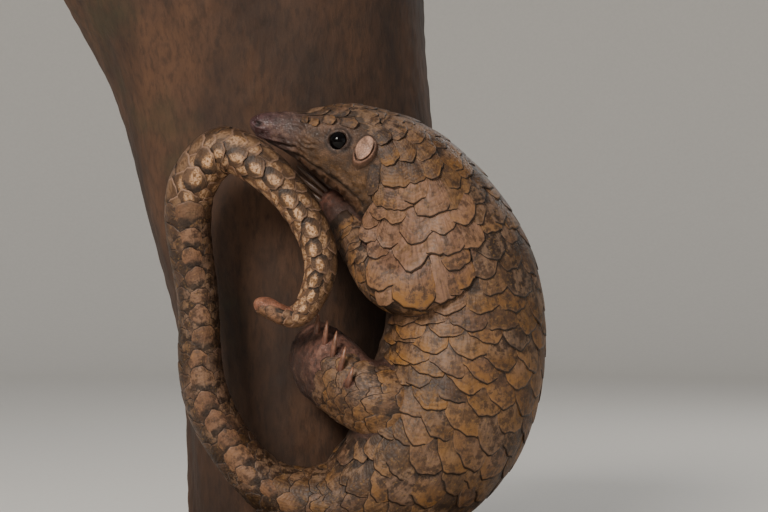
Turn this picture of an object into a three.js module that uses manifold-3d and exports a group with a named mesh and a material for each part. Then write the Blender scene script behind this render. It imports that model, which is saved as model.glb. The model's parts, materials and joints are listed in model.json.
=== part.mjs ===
// A life-size still model of a Sunda pangolin (Manis javanica) that clings to a short cut length of
// tree trunk, on a plain display stand. The animal is head up, its back to the right (+X), its left
// side to the front (-Y), and its long tail curls up and over in front of the trunk.
// Millimetres, +Z up. The origin is the middle of the underside of the base.
import * as THREE from "three";
import { mergeVertices } from "three/addons/utils/BufferGeometryUtils.js";
import Module from "manifold-3d";

const wasm = await Module();
wasm.setup();

// Driving dimensions
const GAP = 0.3; // air that touching pieces keep
const BASE = { width: 330, depth: 290, height: 16, corner: 40, bevel: 3 };
const TRUNK_BOTTOM = 44;
const TRUNK_TOP = 398;
const TRUNK_SIDES = 40;
const TRUNK_RINGS = 8;
const SWELLS = { count: 10, height: 1.5 }; // low upright swellings of the trunk: number around it, half height
const ROD = { radius: 7, sides: 16, xs: [-32, 44], y: 30 };
const EYE = { along: 55.3, angle: 84, radius: 6.2, sunk: 3.2 };
const LID = { radius: 7.4, thick: 2.2, sunk: 0.6 };
const EAR = { along: 72.2, angle: 81.5, halfWidth: 6.5, halfHeight: 10.5, out: 4.5, stands: 0.6 };
const EAR_CUP = { wall: 1.8, forward: 1, stands: 3.4 };
const NOSTRIL = { along: 5.5, angle: 78, size: [1.3, 2.2, 2.6] };
const MOUTH = { front: 9, corner: 31, cornerAngle: 128, radius: 0.9, lip: 1.9 };
const CLAW_SIDES = 4;
const CLAW_TAPER = [1, 0.9, 0.6, 0.15];
const CLAW_CLEARANCE = 0.5; // between a claw and the bark
const LIMB_RINGS = { pitch: 10, count: 7 }; // scales on a limb: from ring to ring, and in each ring
const LIMB_JOIN = { back: 12, sunk: 1.6, fade: 6, past: 18 }; // the forearm's skin starts inside the elbow
const BARE_FADE = 8; // a limb's scales shrink to bare skin over this distance
const ENVELOPE = { from: 30, to: 420, pitch: 9, count: 12, envelope: 1.1 }; // body that the limbs keep off
const FAR = 240; // size of the boxes that cut a length off

// Where the horny scales lie on the body: distance along it, half angle that they cover from the
// middle of the back (degrees), and the step from one scale down to the next.
const BODY_COAT = [
  [0, 0, 0],
  [20, 0, 0],
  [28, 48, 0.5],
  [66, 60, 0.7],
  [80, 70, 0.8],
  [91, 124, 0.9],
  [114, 148, 1],
  [150, 142, 1.15],
  [200, 134, 1.3],
  [290, 128, 1.3],
  [308, 150, 1.2],
  [324, 200, 1.1],
  [350, 200, 1],
  [640, 200, 0.75],
  [745, 200, 0.5],
  [756, 0, 0.3],
  [790, 0, 0.3],
];
const COAT_EDGE = 10; // degrees over which the scales grow to their full step
const MARGIN = { from: 330, extra: 0.7, reach: 22 }; // the tail's side scales stand out further
const SINK = 1.1; // the skin between the scales lies this far under the stations' outline, in steps
const TIP = 2; // level of a scale's free tip, in steps
const BULGE = 0.34; // how far the side of a scale swells towards its tip, in ring pitches

// The body from the nose to the tip of the tail. Each station: place of the centre line (x, y, z),
// half depth to the back and to the belly, half width to the side, and the turn of the back (degrees).
const BODY = [
  [-30, -89, 300.6, 6, 6, 6, 0],
  [-22.7, -89, 298.5, 8, 8, 7.5, 0],
  [-5.5, -89, 293.9, 13, 12.5, 11.5, 0],
  [9.8, -89, 289.6, 18.6, 18, 16.5, 0],
  [25.1, -89, 284.7, 24.5, 24, 21.5, 0],
  [39.8, -88, 279.2, 29.4, 29, 26, 2],
  [54.5, -86, 271.4, 34.4, 34, 31, 5],
  [69.8, -83, 257.3, 38.7, 38, 36, 10],
  [85.3, -80, 235.3, 43.1, 42, 41, 18],
  [97.1, -78, 208.1, 47.5, 46, 45, 25],
  [101.4, -78, 179.7, 49.4, 49, 47, 28],
  [98.2, -80, 150.2, 51.8, 51, 49, 25],
  [88.3, -83, 122.1, 52.9, 51, 49, 18],
  [71, -85, 97.1, 49.1, 46, 46, 8],
  [46.5, -85, 77.5, 38.5, 36, 40, 0],
  [16, -85, 67.5, 25, 23, 31, 0],
  [-21.7, -85, 80.5, 16.5, 14.5, 24, 0],
  [-55.6, -83, 129.5, 15, 13, 19, 4],
  [-62, -81, 190, 13, 11.7, 17.5, 8],
  [-66.3, -87, 255, 15.3, 13.5, 17, 9],
  [-44.1, -97, 281.3, 15, 13, 15.5, 10],
  [-7.2, -106, 256.7, 12.2, 10.6, 12.5, 6],
  [13.2, -108, 216, 10.6, 9.4, 10.5, 3],
  [0, -104, 182.5, 7.2, 6.4, 8.2, 3],
  [-27, -102, 190, 5.6, 5.6, 7, 3],
];
// The limbs, from inside the body to the toes, in stations like the body's. "axis" is what the limb
// bends about, so that angle 0 is the outer side of its bend. A coat of scales covers a stretch of
// it (degrees, mm), and its tips point along the limb (way 1) or back (way -1). The foot begins at
// a share of the limb. Claws fan out between two roots and two tips.
const LONG_CLAWS = { lengths: [0.6, 0.9, 1, 0.85, 0.5], radius: 2.7 };
const SHORT_CLAWS = { lengths: [0.7, 0.95, 1, 0.95, 0.7], radius: 2.2 };
function fan(rootA, rootB, tipA, tipB, bow, { lengths, radius }) {
  return lengths.map((share, i) => {
    const mix = (a, b) => a.map((v, k) => v + ((b[k] - v) * i) / (lengths.length - 1));
    const root = mix(rootA, rootB);
    const full = mix(tipA, tipB);
    return { root, tip: root.map((v, k) => v + (full[k] - v) * share), bow, radius };
  });
}
const LIMBS = [
  {
    leg: "foreleg_left",
    foot: "forefoot_left",
    axis: [0, 1, 0],
    stations: [
      [96, -84, 246, 22, 20, 20, 0],
      [93, -97, 232, 27, 22, 23, 0],
      [86, -106, 218, 30, 20, 22, 0],
      [75, -110, 208, 28, 13, 19.5, 0],
      [63, -109, 204, 22, 10, 17, 0],
      [52, -103, 208, 18, 9, 15, 0],
      [43, -94, 219, 15, 12, 14.5, 0],
      [34, -80, 232, 14, 13, 13.5, 0],
      [26, -68, 246, 14, 13, 12.5, 0],
      [20, -58, 259, 12, 11, 10, 0],
    ],
    coats: [
      { middle: 75, half: 125, step: 1.2, until: 54, way: 1 },
      { middle: 75, half: 110, step: 0.8, until: 110, way: -1 },
    ],
    footFrom: 0.74,
    claws: fan([20, -64, 247], [29, -64, 256], [-8, -60, 268], [2, -60, 282], [0, -4, 0], LONG_CLAWS),
  },
  {
    leg: "foreleg_right",
    foot: "forefoot_right",
    axis: [1, 0, 0],
    stations: [
      [92, -70, 248, 20, 20, 19, 0],
      [98, -61, 236, 23, 19, 20, 0],
      [103, -52, 225, 23, 16, 19, 0],
      [107, -43, 216, 22, 11, 17, 0],
      [109, -33, 212, 19, 9, 16, 0],
      [107, -23, 213, 16, 9, 15, 0],
      [104, -14, 220, 15, 12, 14.5, 0],
      [99, -5, 233, 14, 13, 13.5, 0],
      [94, 2, 247, 14, 13, 12.5, 0],
      [89, 8, 260, 12, 11, 10, 0],
    ],
    coats: [
      { middle: -75, half: 125, step: 1.2, until: 47, way: 1 },
      { middle: -75, half: 110, step: 0.8, until: 102, way: -1 },
    ],
    footFrom: 0.74,
    claws: fan([92, 0, 255], [90, 8, 249], [84, 17, 283], [80, 28, 275], [5, 0, 0], LONG_CLAWS),
  },
  {
    leg: "hindleg_left",
    foot: "hindfoot_left",
    axis: [0, 0, -1],
    stations: [
      [90, -86, 112, 20, 20, 24, 0],
      [77, -95, 118, 24, 24, 27, 0],
      [62, -103, 125, 23, 22, 26, 0],
      [47, -105, 131, 20, 20, 23, 0],
      [34, -99, 137, 18, 18, 22, 0],
      [23, -89, 145, 18, 18, 23, 0],
      [15, -77, 151, 18, 18, 24, 0],
      [10, -66, 155, 17, 17, 22, 0],
      [8, -55, 157, 14, 14, 17, 0],
    ],
    coats: [{ middle: -35, half: 105, step: 1, until: 74, way: 1 }],
    footFrom: 0.56,
    claws: fan([11, -88, 170], [30, -116, 140], [12, -90, 189], [35, -121, 157], [0, -3, 0], SHORT_CLAWS),
  },
  {
    leg: "hindleg_right",
    foot: "hindfoot_right",
    axis: [0, 0, 1],
    stations: [
      [80, -74, 112, 20, 20, 24, 0],
      [93, -65, 117, 24, 24, 26, 0],
      [105, -53, 123, 22, 22, 25, 0],
      [112, -39, 129, 20, 20, 23, 0],
      [114, -25, 135, 18, 18, 22, 0],
      [111, -12, 139, 18, 18, 22, 0],
      [106, -1, 142, 18, 18, 23, 0],
      [100, 8, 144, 16, 16, 22, 0],
      [93, 15, 145, 13, 13, 17, 0],
    ],
    coats: [{ middle: 35, half: 105, step: 1, until: 74, way: 1 }],
    footFrom: 0.7,
    claws: fan([104, -2, 158], [98, 15, 157], [101, 3, 177], [91, 22, 175], [3, 0, 0], SHORT_CLAWS),
  },
];
// The trunk leans and flares. Each station: height, centre x, centre y, half width, half depth.
const TRUNK = [
  [TRUNK_BOTTOM, 6, 30, 84, 75],
  [155, 4, 30, 88, 78],
  [235, -8, 32, 96, 84],
  [322, -22, 34, 105, 90],
  [TRUNK_TOP, -42, 33, 122, 98],
];

const vec = (x, y, z) => new THREE.Vector3(x, y, z);
const rad = THREE.MathUtils.degToRad;
const group = new THREE.Group();

// Cubic curve through rows of numbers, at the distances "at": each row's slope is that of its neighbours.
function throughRows(at, rows) {
  const slope = rows.map((row, i) => {
    const a = Math.max(i - 1, 0);
    const b = Math.min(i + 1, rows.length - 1);
    return row.map((v, k) => (rows[b][k] - rows[a][k]) / (at[b] - at[a]));
  });
  return (s) => {
    let i = 0;
    while (i < rows.length - 2 && s > at[i + 1]) i++;
    const span = at[i + 1] - at[i];
    const t = (s - at[i]) / span;
    const h00 = (1 + 2 * t) * (1 - t) ** 2;
    const h10 = t * (1 - t) ** 2;
    const h01 = t * t * (3 - 2 * t);
    const h11 = t * t * (t - 1);
    return rows[i].map(
      (v, k) => h00 * v + h10 * span * slope[i][k] + h01 * rows[i + 1][k] + h11 * span * slope[i + 1][k],
    );
  };
}

// A track is a bent tube: its centre line with a frame, its half depths and its half width.
function makeTrack(stations, roundStart, roundEnd, axis = vec(0, 1, 0)) {
  const at = [0];
  for (let i = 1; i < stations.length; i++) {
    const [a, b] = [stations[i - 1], stations[i]];
    at.push(at[i - 1] + Math.hypot(b[0] - a[0], b[1] - a[1], b[2] - a[2]));
  }
  const row = throughRows(at, stations);
  const length = at[at.length - 1];
  const centre = (s) => vec(...row(s).slice(0, 3));
  const dome = (d, reach) => (reach ? Math.sqrt(Math.max(1 - (1 - Math.min(d / reach, 1)) ** 2, 0)) : 1);
  const frame = (s) => {
    const step = 0.5;
    const t = centre(Math.min(s + step, length)).sub(centre(Math.max(s - step, 0))).normalize();
    const flat = t.clone().cross(axis).normalize();
    const side = t.clone().cross(flat);
    const values = row(s);
    const turn = rad(values[6]);
    const back = flat.multiplyScalar(Math.cos(turn)).addScaledVector(side, Math.sin(turn));
    const left = t.clone().cross(back);
    const round = dome(s, roundStart) * dome(length - s, roundEnd);
    return {
      centre: vec(...values.slice(0, 3)),
      along: t,
      back,
      left,
      backDepth: values[3] * round,
      bellyDepth: values[4] * round,
      halfWidth: values[5] * round,
    };
  };
  // A point of the skin at distance s along the track and angle a from the back, lifted off it.
  const skin = (s, a, lift = 0) => {
    const f = frame(s);
    const c = Math.cos(a);
    const depth = (c > 0 ? f.backDepth : f.bellyDepth) + lift;
    return f.centre
      .addScaledVector(f.back, depth * c)
      .addScaledVector(f.left, (f.halfWidth + lift) * Math.sin(a));
  };
  return { length, frame, skin };
}

// Closed mesh from flat lists of points and faces, as a solid for joining and cutting.
function solidFrom(points, faces) {
  const vertProperties = new Float32Array(points.flatMap((p) => [p.x, p.y, p.z]));
  const triVerts = new Uint32Array(faces.flat());
  return new wasm.Manifold(new wasm.Mesh({ numProp: 3, vertProperties, triVerts }));
}

// As solidFrom, with equal points merged, empty faces dropped and the faces turned outwards.
function closedSolid(points, faces) {
  const seen = new Map();
  const kept = [];
  const places = points.map((p) => {
    const key = [p.x, p.y, p.z].map((v) => v.toFixed(4)).join();
    if (!seen.has(key)) seen.set(key, kept.push(p) - 1);
    return seen.get(key);
  });
  const full = faces
    .map((face) => face.map((v) => places[v]))
    .filter(([a, b, c]) => a !== b && b !== c && c !== a);
  const made = solidFrom(kept, full);
  return made.volume() > 0 ? made : solidFrom(kept, full.map(([a, b, c]) => [a, c, b]));
}

function solidFromGeometry(geometry, matrix) {
  const plain = geometry.clone();
  plain.deleteAttribute("normal");
  plain.deleteAttribute("uv");
  if (matrix) plain.applyMatrix4(matrix);
  const merged = mergeVertices(plain, 1e-3);
  const vertProperties = new Float32Array(merged.attributes.position.array);
  return new wasm.Manifold(
    new wasm.Mesh({ numProp: 3, vertProperties, triVerts: new Uint32Array(merged.index.array) }),
  );
}

// Rings of points joined into a closed skin with a middle point on each end.
function solidFromRings(rings) {
  const sides = rings[0].length;
  const points = rings.flat();
  const faces = [];
  for (let i = 0; i + 1 < rings.length; i++) {
    for (let j = 0; j < sides; j++) {
      const a = i * sides + j;
      const b = i * sides + ((j + 1) % sides);
      faces.push([a, b + sides, b], [a, a + sides, b + sides]);
    }
  }
  for (const [start, flip] of [[0, true], [(rings.length - 1) * sides, false]]) {
    const middle = vec(0, 0, 0);
    for (let j = 0; j < sides; j++) middle.addScaledVector(points[start + j], 1 / sides);
    const m = points.push(middle) - 1;
    for (let j = 0; j < sides; j++) {
      const [a, b] = [start + j, start + ((j + 1) % sides)];
      faces.push(flip ? [m, a, b] : [m, b, a]);
    }
  }
  const made = solidFrom(points, faces);
  return made.volume() > 0 ? made : solidFrom(points, faces.map(([a, b, c]) => [a, c, b]));
}

// A closed skin of overlapping horny scales on a track, from one distance to another. Scales sit in
// rings, every second ring turned by half a scale, as on the animal. A scale runs over two rings: it
// starts low under the tips of the ring before it, rises, and ends in a free tip that stands one
// step above the scales after it. Where the coat is bare the skin is smooth.
// "envelope" gives the smooth skin over the tips instead, lifted by that much.
// "crowd" gathers rings towards the zone's start (above 1) or its end (below 0).
function scalySkin(track, coat, zone) {
  const { from, to, pitch, count, middle = 0, way = 1, crowd = 1, envelope = null } = zone;
  const rings = Math.max(Math.round((to - from) / pitch), 3);
  const columns = 2 * count;
  const share = (u) => (crowd > 0 ? u ** crowd : 1 - (1 - u) ** -crowd);
  const alongAt = (ring) => from + (to - from) * share(way > 0 ? ring / rings : 1 - ring / rings);
  const angleAt = (column) => middle + (column * Math.PI) / count;
  const points = [];
  const index = new Map();
  const vertex = (ring, column, level) => {
    const key = [ring, ((column % columns) + columns) % columns, level].map((v) => v.toFixed(3)).join();
    if (!index.has(key)) {
      const [along, angle] = [alongAt(ring), angleAt(column)];
      const { step, extra = 0, sunk = 0 } = coat(along, angle);
      const height = envelope === null ? level : TIP;
      const lift = (height - SINK) * step + height * extra - sunk + (envelope ?? 0);
      index.set(key, points.push(track.skin(along, angle, lift)) - 1);
    }
    return index.get(key);
  };
  const covered = (ring, column) => envelope === null && coat(alongAt(ring), angleAt(column)).step > 0;
  const faces = [];
  const fan = (list) => {
    for (let i = 1; i + 1 < list.length; i++) faces.push([list[0], list[i], list[i + 1]]);
  };
  // Points along one edge of a scale, seen from the plate that has the given level at its start.
  const edge = (ring, column, sign, level) => {
    const line = [vertex(ring, column, level)];
    const at = 0.5 + BULGE;
    const side = column + sign / 2;
    if (covered(ring + at, side)) line.push(vertex(ring + at, side, level + at));
    line.push(vertex(ring + 1, column + sign, level + 1));
    return line;
  };
  for (let ring = 0; ring <= rings - 2; ring++) {
    for (let column = ring % 2; column < columns; column += 2) {
      const upperLeft = edge(ring, column, -1, 0);
      const upperRight = edge(ring, column, 1, 0);
      const lowerLeft = edge(ring + 1, column - 1, 1, 1);
      const lowerRight = edge(ring + 1, column + 1, -1, 1);
      // The face is split from the tip, so that a keel runs from the tip to the root.
      fan([
        ...lowerRight.slice().reverse(),
        ...upperRight.slice(1, -1).reverse(),
        ...upperLeft,
        ...lowerLeft.slice(1, -1),
      ]);
      if (ring + 1 > rings - 2) continue;
      for (const [high, sign] of [[lowerLeft, 1], [lowerRight, -1]]) {
        const low = edge(ring + 1, column - sign, sign, 0);
        for (let i = 0; i + 1 < high.length; i++) {
          const quad = [high[i], low[i], low[i + 1], high[i + 1]];
          fan(sign > 0 ? quad : quad.reverse());
        }
      }
    }
  }
  const first = [];
  const last = [];
  for (let column = 0; column < columns; column += 2) {
    first.push(...edge(0, column, 1, 0).slice(0, -1), ...edge(0, column + 2, -1, 0).slice(1).reverse());
  }
  const end = rings - 1;
  for (let column = end % 2; column < columns; column += 2) {
    last.push(...edge(end, column, 1, 1).slice(0, -1), ...edge(end, column + 2, -1, 1).slice(1).reverse());
  }
  for (const [loop, flip] of [[first, false], [last, true]]) {
    const middlePoint = vec(0, 0, 0);
    for (const v of loop) middlePoint.addScaledVector(points[v], 1 / loop.length);
    const m = points.push(middlePoint) - 1;
    loop.forEach((v, i) => {
      const w = loop[(i + 1) % loop.length];
      faces.push(flip ? [m, w, v] : [m, v, w]);
    });
  }
  return closedSolid(points, faces);
}

const union = (list) => wasm.Manifold.union(list);

// The largest closed surface of a solid, which drops scraps and fills sealed hollows.
function largest(solid) {
  const pieces = solid.decompose();
  return pieces.reduce((best, p) => (p.volume() > best.volume() ? p : best));
}

// Half space as a big box: what lies past a place of a track, along its direction.
function beyond(track, s, sign) {
  const f = track.frame(s);
  const turn = new THREE.Quaternion().setFromUnitVectors(vec(0, 0, 1), f.along);
  const centre = f.centre.addScaledVector(f.along, (sign * FAR) / 2);
  const matrix = new THREE.Matrix4().compose(centre, turn, vec(1, 1, 1));
  return solidFromGeometry(new THREE.BoxGeometry(FAR, FAR, FAR), matrix);
}

function addNode(name, solid, colour, roughness) {
  const mesh = solid.getMesh();
  const geometry = new THREE.BufferGeometry();
  const position = new Float32Array(mesh.numVert * 3);
  for (let i = 0; i < mesh.numVert; i++) {
    for (let k = 0; k < 3; k++) position[i * 3 + k] = mesh.vertProperties[i * mesh.numProp + k];
  }
  geometry.setAttribute("position", new THREE.BufferAttribute(position, 3));
  geometry.setIndex(new THREE.BufferAttribute(new Uint32Array(mesh.triVerts), 1));
  geometry.computeVertexNormals();
  const material = new THREE.MeshStandardMaterial({ color: colour, roughness, metalness: 0 });
  const node = new THREE.Mesh(geometry, material);
  node.name = name;
  group.add(node);
}

// Trunk
const trunkRow = throughRows(TRUNK.map((t) => t[0]), TRUNK);
const trunkLobes = (z, a) => 1 + 0.02 * Math.sin(3 * a + z / 90) + 0.012 * Math.sin(5 * a - z / 60);
const trunkSwell = (z, a) => {
  const fade = 0.65 + 0.35 * Math.sin(2 * a + z / 70);
  return SWELLS.height * fade * Math.cos(SWELLS.count * a + 1.2 * Math.sin(z / 75));
};
function trunkPoint(z, a, lift = 0) {
  const [, x, y, w, d] = trunkRow(z);
  const lobes = trunkLobes(z, a);
  const out = trunkSwell(z, a) + lift;
  return vec(x + (w * lobes + out) * Math.cos(a), y + (d * lobes + out) * Math.sin(a), z);
}
function trunkSolid(lift = 0) {
  const [bottom, top] = [TRUNK_BOTTOM - lift, TRUNK_TOP + lift];
  const rings = Array.from({ length: TRUNK_RINGS }, (_, i) => {
    const z = bottom + ((top - bottom) * i) / (TRUNK_RINGS - 1);
    const turn = (2 * Math.PI) / TRUNK_SIDES;
    return Array.from({ length: TRUNK_SIDES }, (_, j) => trunkPoint(z, j * turn, lift));
  });
  return solidFromRings(rings);
}
// Moves a point off the bark until it has the given clearance.
function offBark(point, clearance) {
  const [, x, y, w, d] = trunkRow(point.z);
  const a = Math.atan2((point.y - y) / d, (point.x - x) / w);
  const bark = trunkPoint(point.z, a, clearance);
  const far = Math.hypot(point.x - x, point.y - y) > Math.hypot(bark.x - x, bark.y - y);
  return far ? point : bark;
}
const trunkGrown = trunkSolid(GAP);
addNode("perch_trunk", trunkSolid(), "#5c4632", 0.9);

// Body
const body = makeTrack(BODY, 9, 7);
const BODY_LENGTHS = [
  { name: "head", from: 0, to: 84, pitch: 8.8, count: 12, crowd: 1.35 },
  { name: "neck", from: 84, to: 128, pitch: 10.6, count: 12 },
  { name: "chest", from: 128, to: 192, pitch: 14.6, count: 12 },
  { name: "loin", from: 192, to: 256, pitch: 14.4, count: 12 },
  { name: "rump", from: 256, to: 322, pitch: 15, count: 12 },
  { name: "tail_1", from: 322, to: 392, pitch: 13.8, count: 8 },
  { name: "tail_2", from: 392, to: 470, pitch: 12.8, count: 6 },
  { name: "tail_3", from: 470, to: 560, pitch: 12.8, count: 6 },
  { name: "tail_4", from: 560, to: 632, pitch: 10.4, count: 6 },
  { name: "tail_5", from: 632, to: 690, pitch: 9.9, count: 6 },
  { name: "tail_6", from: 690, to: 726, pitch: 10.4, count: 6 },
  { name: "tail_7", from: 726, to: body.length, pitch: 8.2, count: 6, crowd: -1.3 },
];
const clamp01 = (v) => Math.min(Math.max(v, 0), 1);
const coatRow = (s) => {
  const i = Math.max(BODY_COAT.findIndex((row) => row[0] > s) - 1, 0);
  const [a, b] = [BODY_COAT[i], BODY_COAT[i + 1]];
  const share = clamp01((s - a[0]) / (b[0] - a[0]));
  return a.map((v, k) => v + (b[k] - v) * share);
};
const degreesFrom = (angle, middle) => {
  const d = Math.abs(THREE.MathUtils.radToDeg(angle) - middle) % 360;
  return Math.min(d, 360 - d);
};
const noLess = (step) => (step < 0.1 ? 0 : step);
const bodyCoat = (along, angle) => {
  const [, half, step] = coatRow(along);
  const off = degreesFrom(angle, 0);
  const covered = clamp01((half - off) / COAT_EDGE);
  const side = clamp01(1 - Math.abs(off - 90) / MARGIN.reach);
  const margin = clamp01((along - MARGIN.from) / 40) * clamp01((body.length - 12 - along) / 60);
  return { step: noLess(step * covered), extra: (covered * side * margin * MARGIN.extra) / 2 };
};
// A frame on the skin: its place, the way along the track, the way out, and the way around.
function skinFrame(track, along, angle) {
  const origin = track.skin(along, angle);
  const t = track.skin(along + 0.5, angle).sub(track.skin(along - 0.5, angle)).normalize();
  const a = track.skin(along, angle + 0.02).sub(track.skin(along, angle - 0.02)).normalize();
  const out = a.clone().cross(t).normalize();
  if (out.dot(origin.clone().sub(track.frame(along).centre)) < 0) out.negate();
  const around = out.clone().cross(t).normalize();
  return { origin, t, around, out };
}
function ellipsoid(frame, [alongHalf, aroundHalf, outHalf], [dt, da, dout], detail) {
  const centre = frame.origin
    .clone()
    .addScaledVector(frame.t, dt)
    .addScaledVector(frame.around, da)
    .addScaledVector(frame.out, dout);
  const matrix = new THREE.Matrix4()
    .makeBasis(frame.t, frame.around, frame.out)
    .setPosition(centre)
    .scale(vec(alongHalf, aroundHalf, outHalf));
  return solidFromGeometry(new THREE.SphereGeometry(1, detail, Math.round(detail * 0.7)), matrix);
}

// A tapering cord of small rings through points, for lips, the mouth's line and claws.
function cord(points, radii, sides) {
  const curve = new THREE.CatmullRomCurve3(points, false, "centripetal");
  const frames = curve.computeFrenetFrames(radii.length - 1, false);
  const rings = radii.map((r, i) => {
    const centre = curve.getPoint(i / (radii.length - 1));
    return Array.from({ length: sides }, (_, j) => {
      const a = (2 * Math.PI * j) / sides;
      return centre
        .clone()
        .addScaledVector(frames.normals[i], r * Math.cos(a))
        .addScaledVector(frames.binormals[i], r * Math.sin(a));
    });
  });
  return solidFromRings(rings);
}

// Eyes, ears, nostrils, lips and the line of the mouth are worked into the head.
const eyeParts = [];
function dressHead(head) {
  const added = [head];
  const cut = [];
  for (const [side, sign] of [["left", 1], ["right", -1]]) {
    const eyeFrame = skinFrame(body, EYE.along, sign * rad(EYE.angle));
    const eyeCentre = eyeFrame.origin.clone().addScaledVector(eyeFrame.out, -EYE.sunk);
    const ball = (radius, detail) =>
      solidFromGeometry(
        new THREE.SphereGeometry(radius, detail, detail / 2),
        new THREE.Matrix4()
          .makeBasis(eyeFrame.t, eyeFrame.out, eyeFrame.around.clone().negate())
          .setPosition(eyeCentre),
      );
    const lidTurn = new THREE.Matrix4()
      .makeBasis(eyeFrame.t, eyeFrame.around, eyeFrame.out)
      .setPosition(eyeFrame.origin.clone().addScaledVector(eyeFrame.out, -LID.sunk));
    const lid = new THREE.TorusGeometry(LID.radius, LID.thick, 5, 14);
    added.push(solidFromGeometry(lid, lidTurn));
    cut.push(ball(EYE.radius + GAP, 12));
    eyeParts.push([`eye_${side}`, ball(EYE.radius, 12), "#141010", 0.1]);

    const earFrame = skinFrame(body, EAR.along, sign * rad(EAR.angle));
    const size = [EAR.halfWidth, EAR.halfHeight, EAR.out];
    const place = [0, 0, EAR.stands];
    const cupPlace = [-EAR_CUP.forward, 0, EAR_CUP.stands];
    const ear = ellipsoid(earFrame, size, place, 10);
    const cup = ellipsoid(earFrame, size.map((v) => v - EAR_CUP.wall), cupPlace, 10);
    cut.push(ellipsoid(earFrame, size.map((v) => v + GAP), place, 10));
    eyeParts.push([`ear_${side}`, ear.subtract(cup), "#a8786c", 0.6]);

    const noseFrame = skinFrame(body, NOSTRIL.along, sign * rad(NOSTRIL.angle));
    cut.push(ellipsoid(noseFrame, NOSTRIL.size, [0, 0, 0], 8));
  }
  const mouthPoint = (share, lift) => {
    const angle = Math.PI + share * (Math.PI - rad(MOUTH.cornerAngle));
    const along = MOUTH.front + (MOUTH.corner - MOUTH.front) * Math.abs(share) ** 1.6;
    return body.skin(along, angle, lift);
  };
  const shares = [-1, -0.75, -0.5, -0.2, 0.2, 0.5, 0.75, 1];
  const taper = shares.map((f) => 1 - 0.75 * Math.abs(f) ** 6);
  const lips = shares.map((f) => mouthPoint(f, -MOUTH.radius));
  const line = shares.map((f) => mouthPoint(f, 0.4 * MOUTH.radius));
  added.push(cord(lips, taper.map((k) => MOUTH.lip * k), 6));
  cut.push(cord(line, taper.map((k) => MOUTH.radius * k), 5));
  return union(added).subtract(union(cut));
}

for (const { name, from, to, ...zone } of BODY_LENGTHS) {
  const first = from === 0;
  const last = to === body.length;
  const reach = 2 * zone.pitch;
  let solid = scalySkin(body, bodyCoat, {
    ...zone,
    from: first ? 0.02 : from - reach,
    to: last ? to - 0.02 : to + reach,
  });
  if (!first) solid = solid.subtract(beyond(body, from + GAP / 2, -1));
  if (!last) solid = solid.subtract(beyond(body, to - GAP / 2, 1));
  if (first) solid = dressHead(solid);
  addNode(name, largest(solid), "#6b5138", 0.6);
}
for (const part of eyeParts) addNode(...part);

// Limbs
const bodyGrown = scalySkin(body, bodyCoat, ENVELOPE);
for (const { leg, foot, axis, stations, coats, footFrom, claws } of LIMBS) {
  const track = makeTrack(stations, 0, 10, vec(...axis));
  const split = track.length * footFrom;
  let start = 0;
  const lengths = coats.map(({ middle, half, step, until, way }, i) => {
    const last = i === coats.length - 1;
    const [from, to] = [start, last ? track.length : until];
    start = until;
    const coat = (along, angle) => {
      const around = clamp01((half - degreesFrom(angle, middle)) / COAT_EDGE);
      const bare = last ? clamp01((until - along) / BARE_FADE) : 1;
      const sunk = from > 0 ? LIMB_JOIN.sunk * clamp01((from + 1 - along) / LIMB_JOIN.fade) : 0;
      return { step: noLess(step * around * bare), sunk };
    };
    const reach = { from: Math.max(from - LIMB_JOIN.back, 0), to: last ? to - 0.02 : to + LIMB_JOIN.past };
    const piece = scalySkin(track, coat, { ...LIMB_RINGS, ...reach, way, crowd: last ? -1.3 : 1 });
    return last ? piece : piece.subtract(beyond(track, to, 1));
  });
  const whole = union(lengths);
  const footPieces = [whole.subtract(beyond(track, split + GAP / 2, -1))];
  for (const { root, tip, bow, radius } of claws) {
    const [from, to] = [vec(...root), vec(...tip)];
    const middle = from.clone().lerp(to, 0.5).add(vec(...bow));
    const points = [from, middle, to].map((p, i) => offBark(p, CLAW_CLEARANCE + radius * (1 - i / 2.4)));
    footPieces.push(cord(points, CLAW_TAPER.map((k) => k * radius), CLAW_SIDES));
  }
  const clear = (solid) => largest(solid.subtract(bodyGrown).subtract(trunkGrown));
  addNode(leg, clear(whole.subtract(beyond(track, split - GAP / 2, 1))), "#6b5138", 0.6);
  addNode(foot, clear(union(footPieces)), "#7a5a4c", 0.6);
}

// Stand
function roundedPlate() {
  const { width: w, depth: d, height: h, corner: c, bevel } = BASE;
  const [x, y] = [w / 2 - bevel, d / 2 - bevel];
  const shape = new THREE.Shape();
  shape.moveTo(-x + c, -y);
  shape.lineTo(x - c, -y).absarc(x - c, -y + c, c, -Math.PI / 2, 0);
  shape.lineTo(x, y - c).absarc(x - c, y - c, c, 0, Math.PI / 2);
  shape.lineTo(-x + c, y).absarc(-x + c, y - c, c, Math.PI / 2, Math.PI);
  shape.lineTo(-x, -y + c).absarc(-x + c, -y + c, c, Math.PI, Math.PI * 1.5);
  const solid = new THREE.ExtrudeGeometry(shape, {
    depth: h - 2 * bevel,
    bevelSize: bevel,
    bevelThickness: bevel,
    bevelSegments: 1,
    curveSegments: 3,
  });
  return solid.translate(0, 0, bevel);
}
addNode("stand_base", solidFromGeometry(roundedPlate()), "#2a2521", 0.5);
ROD.xs.forEach((x, i) => {
  const length = TRUNK_BOTTOM - BASE.height - 2 * GAP;
  const rod = new THREE.CylinderGeometry(ROD.radius, ROD.radius, length, ROD.sides);
  const matrix = new THREE.Matrix4()
    .makeTranslation(x, ROD.y, TRUNK_BOTTOM - GAP - length / 2)
    .multiply(new THREE.Matrix4().makeRotationX(Math.PI / 2));
  addNode(`stand_rod_${i + 1}`, solidFromGeometry(rod, matrix), "#8a8a88", 0.35);
});

export default group;
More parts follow.
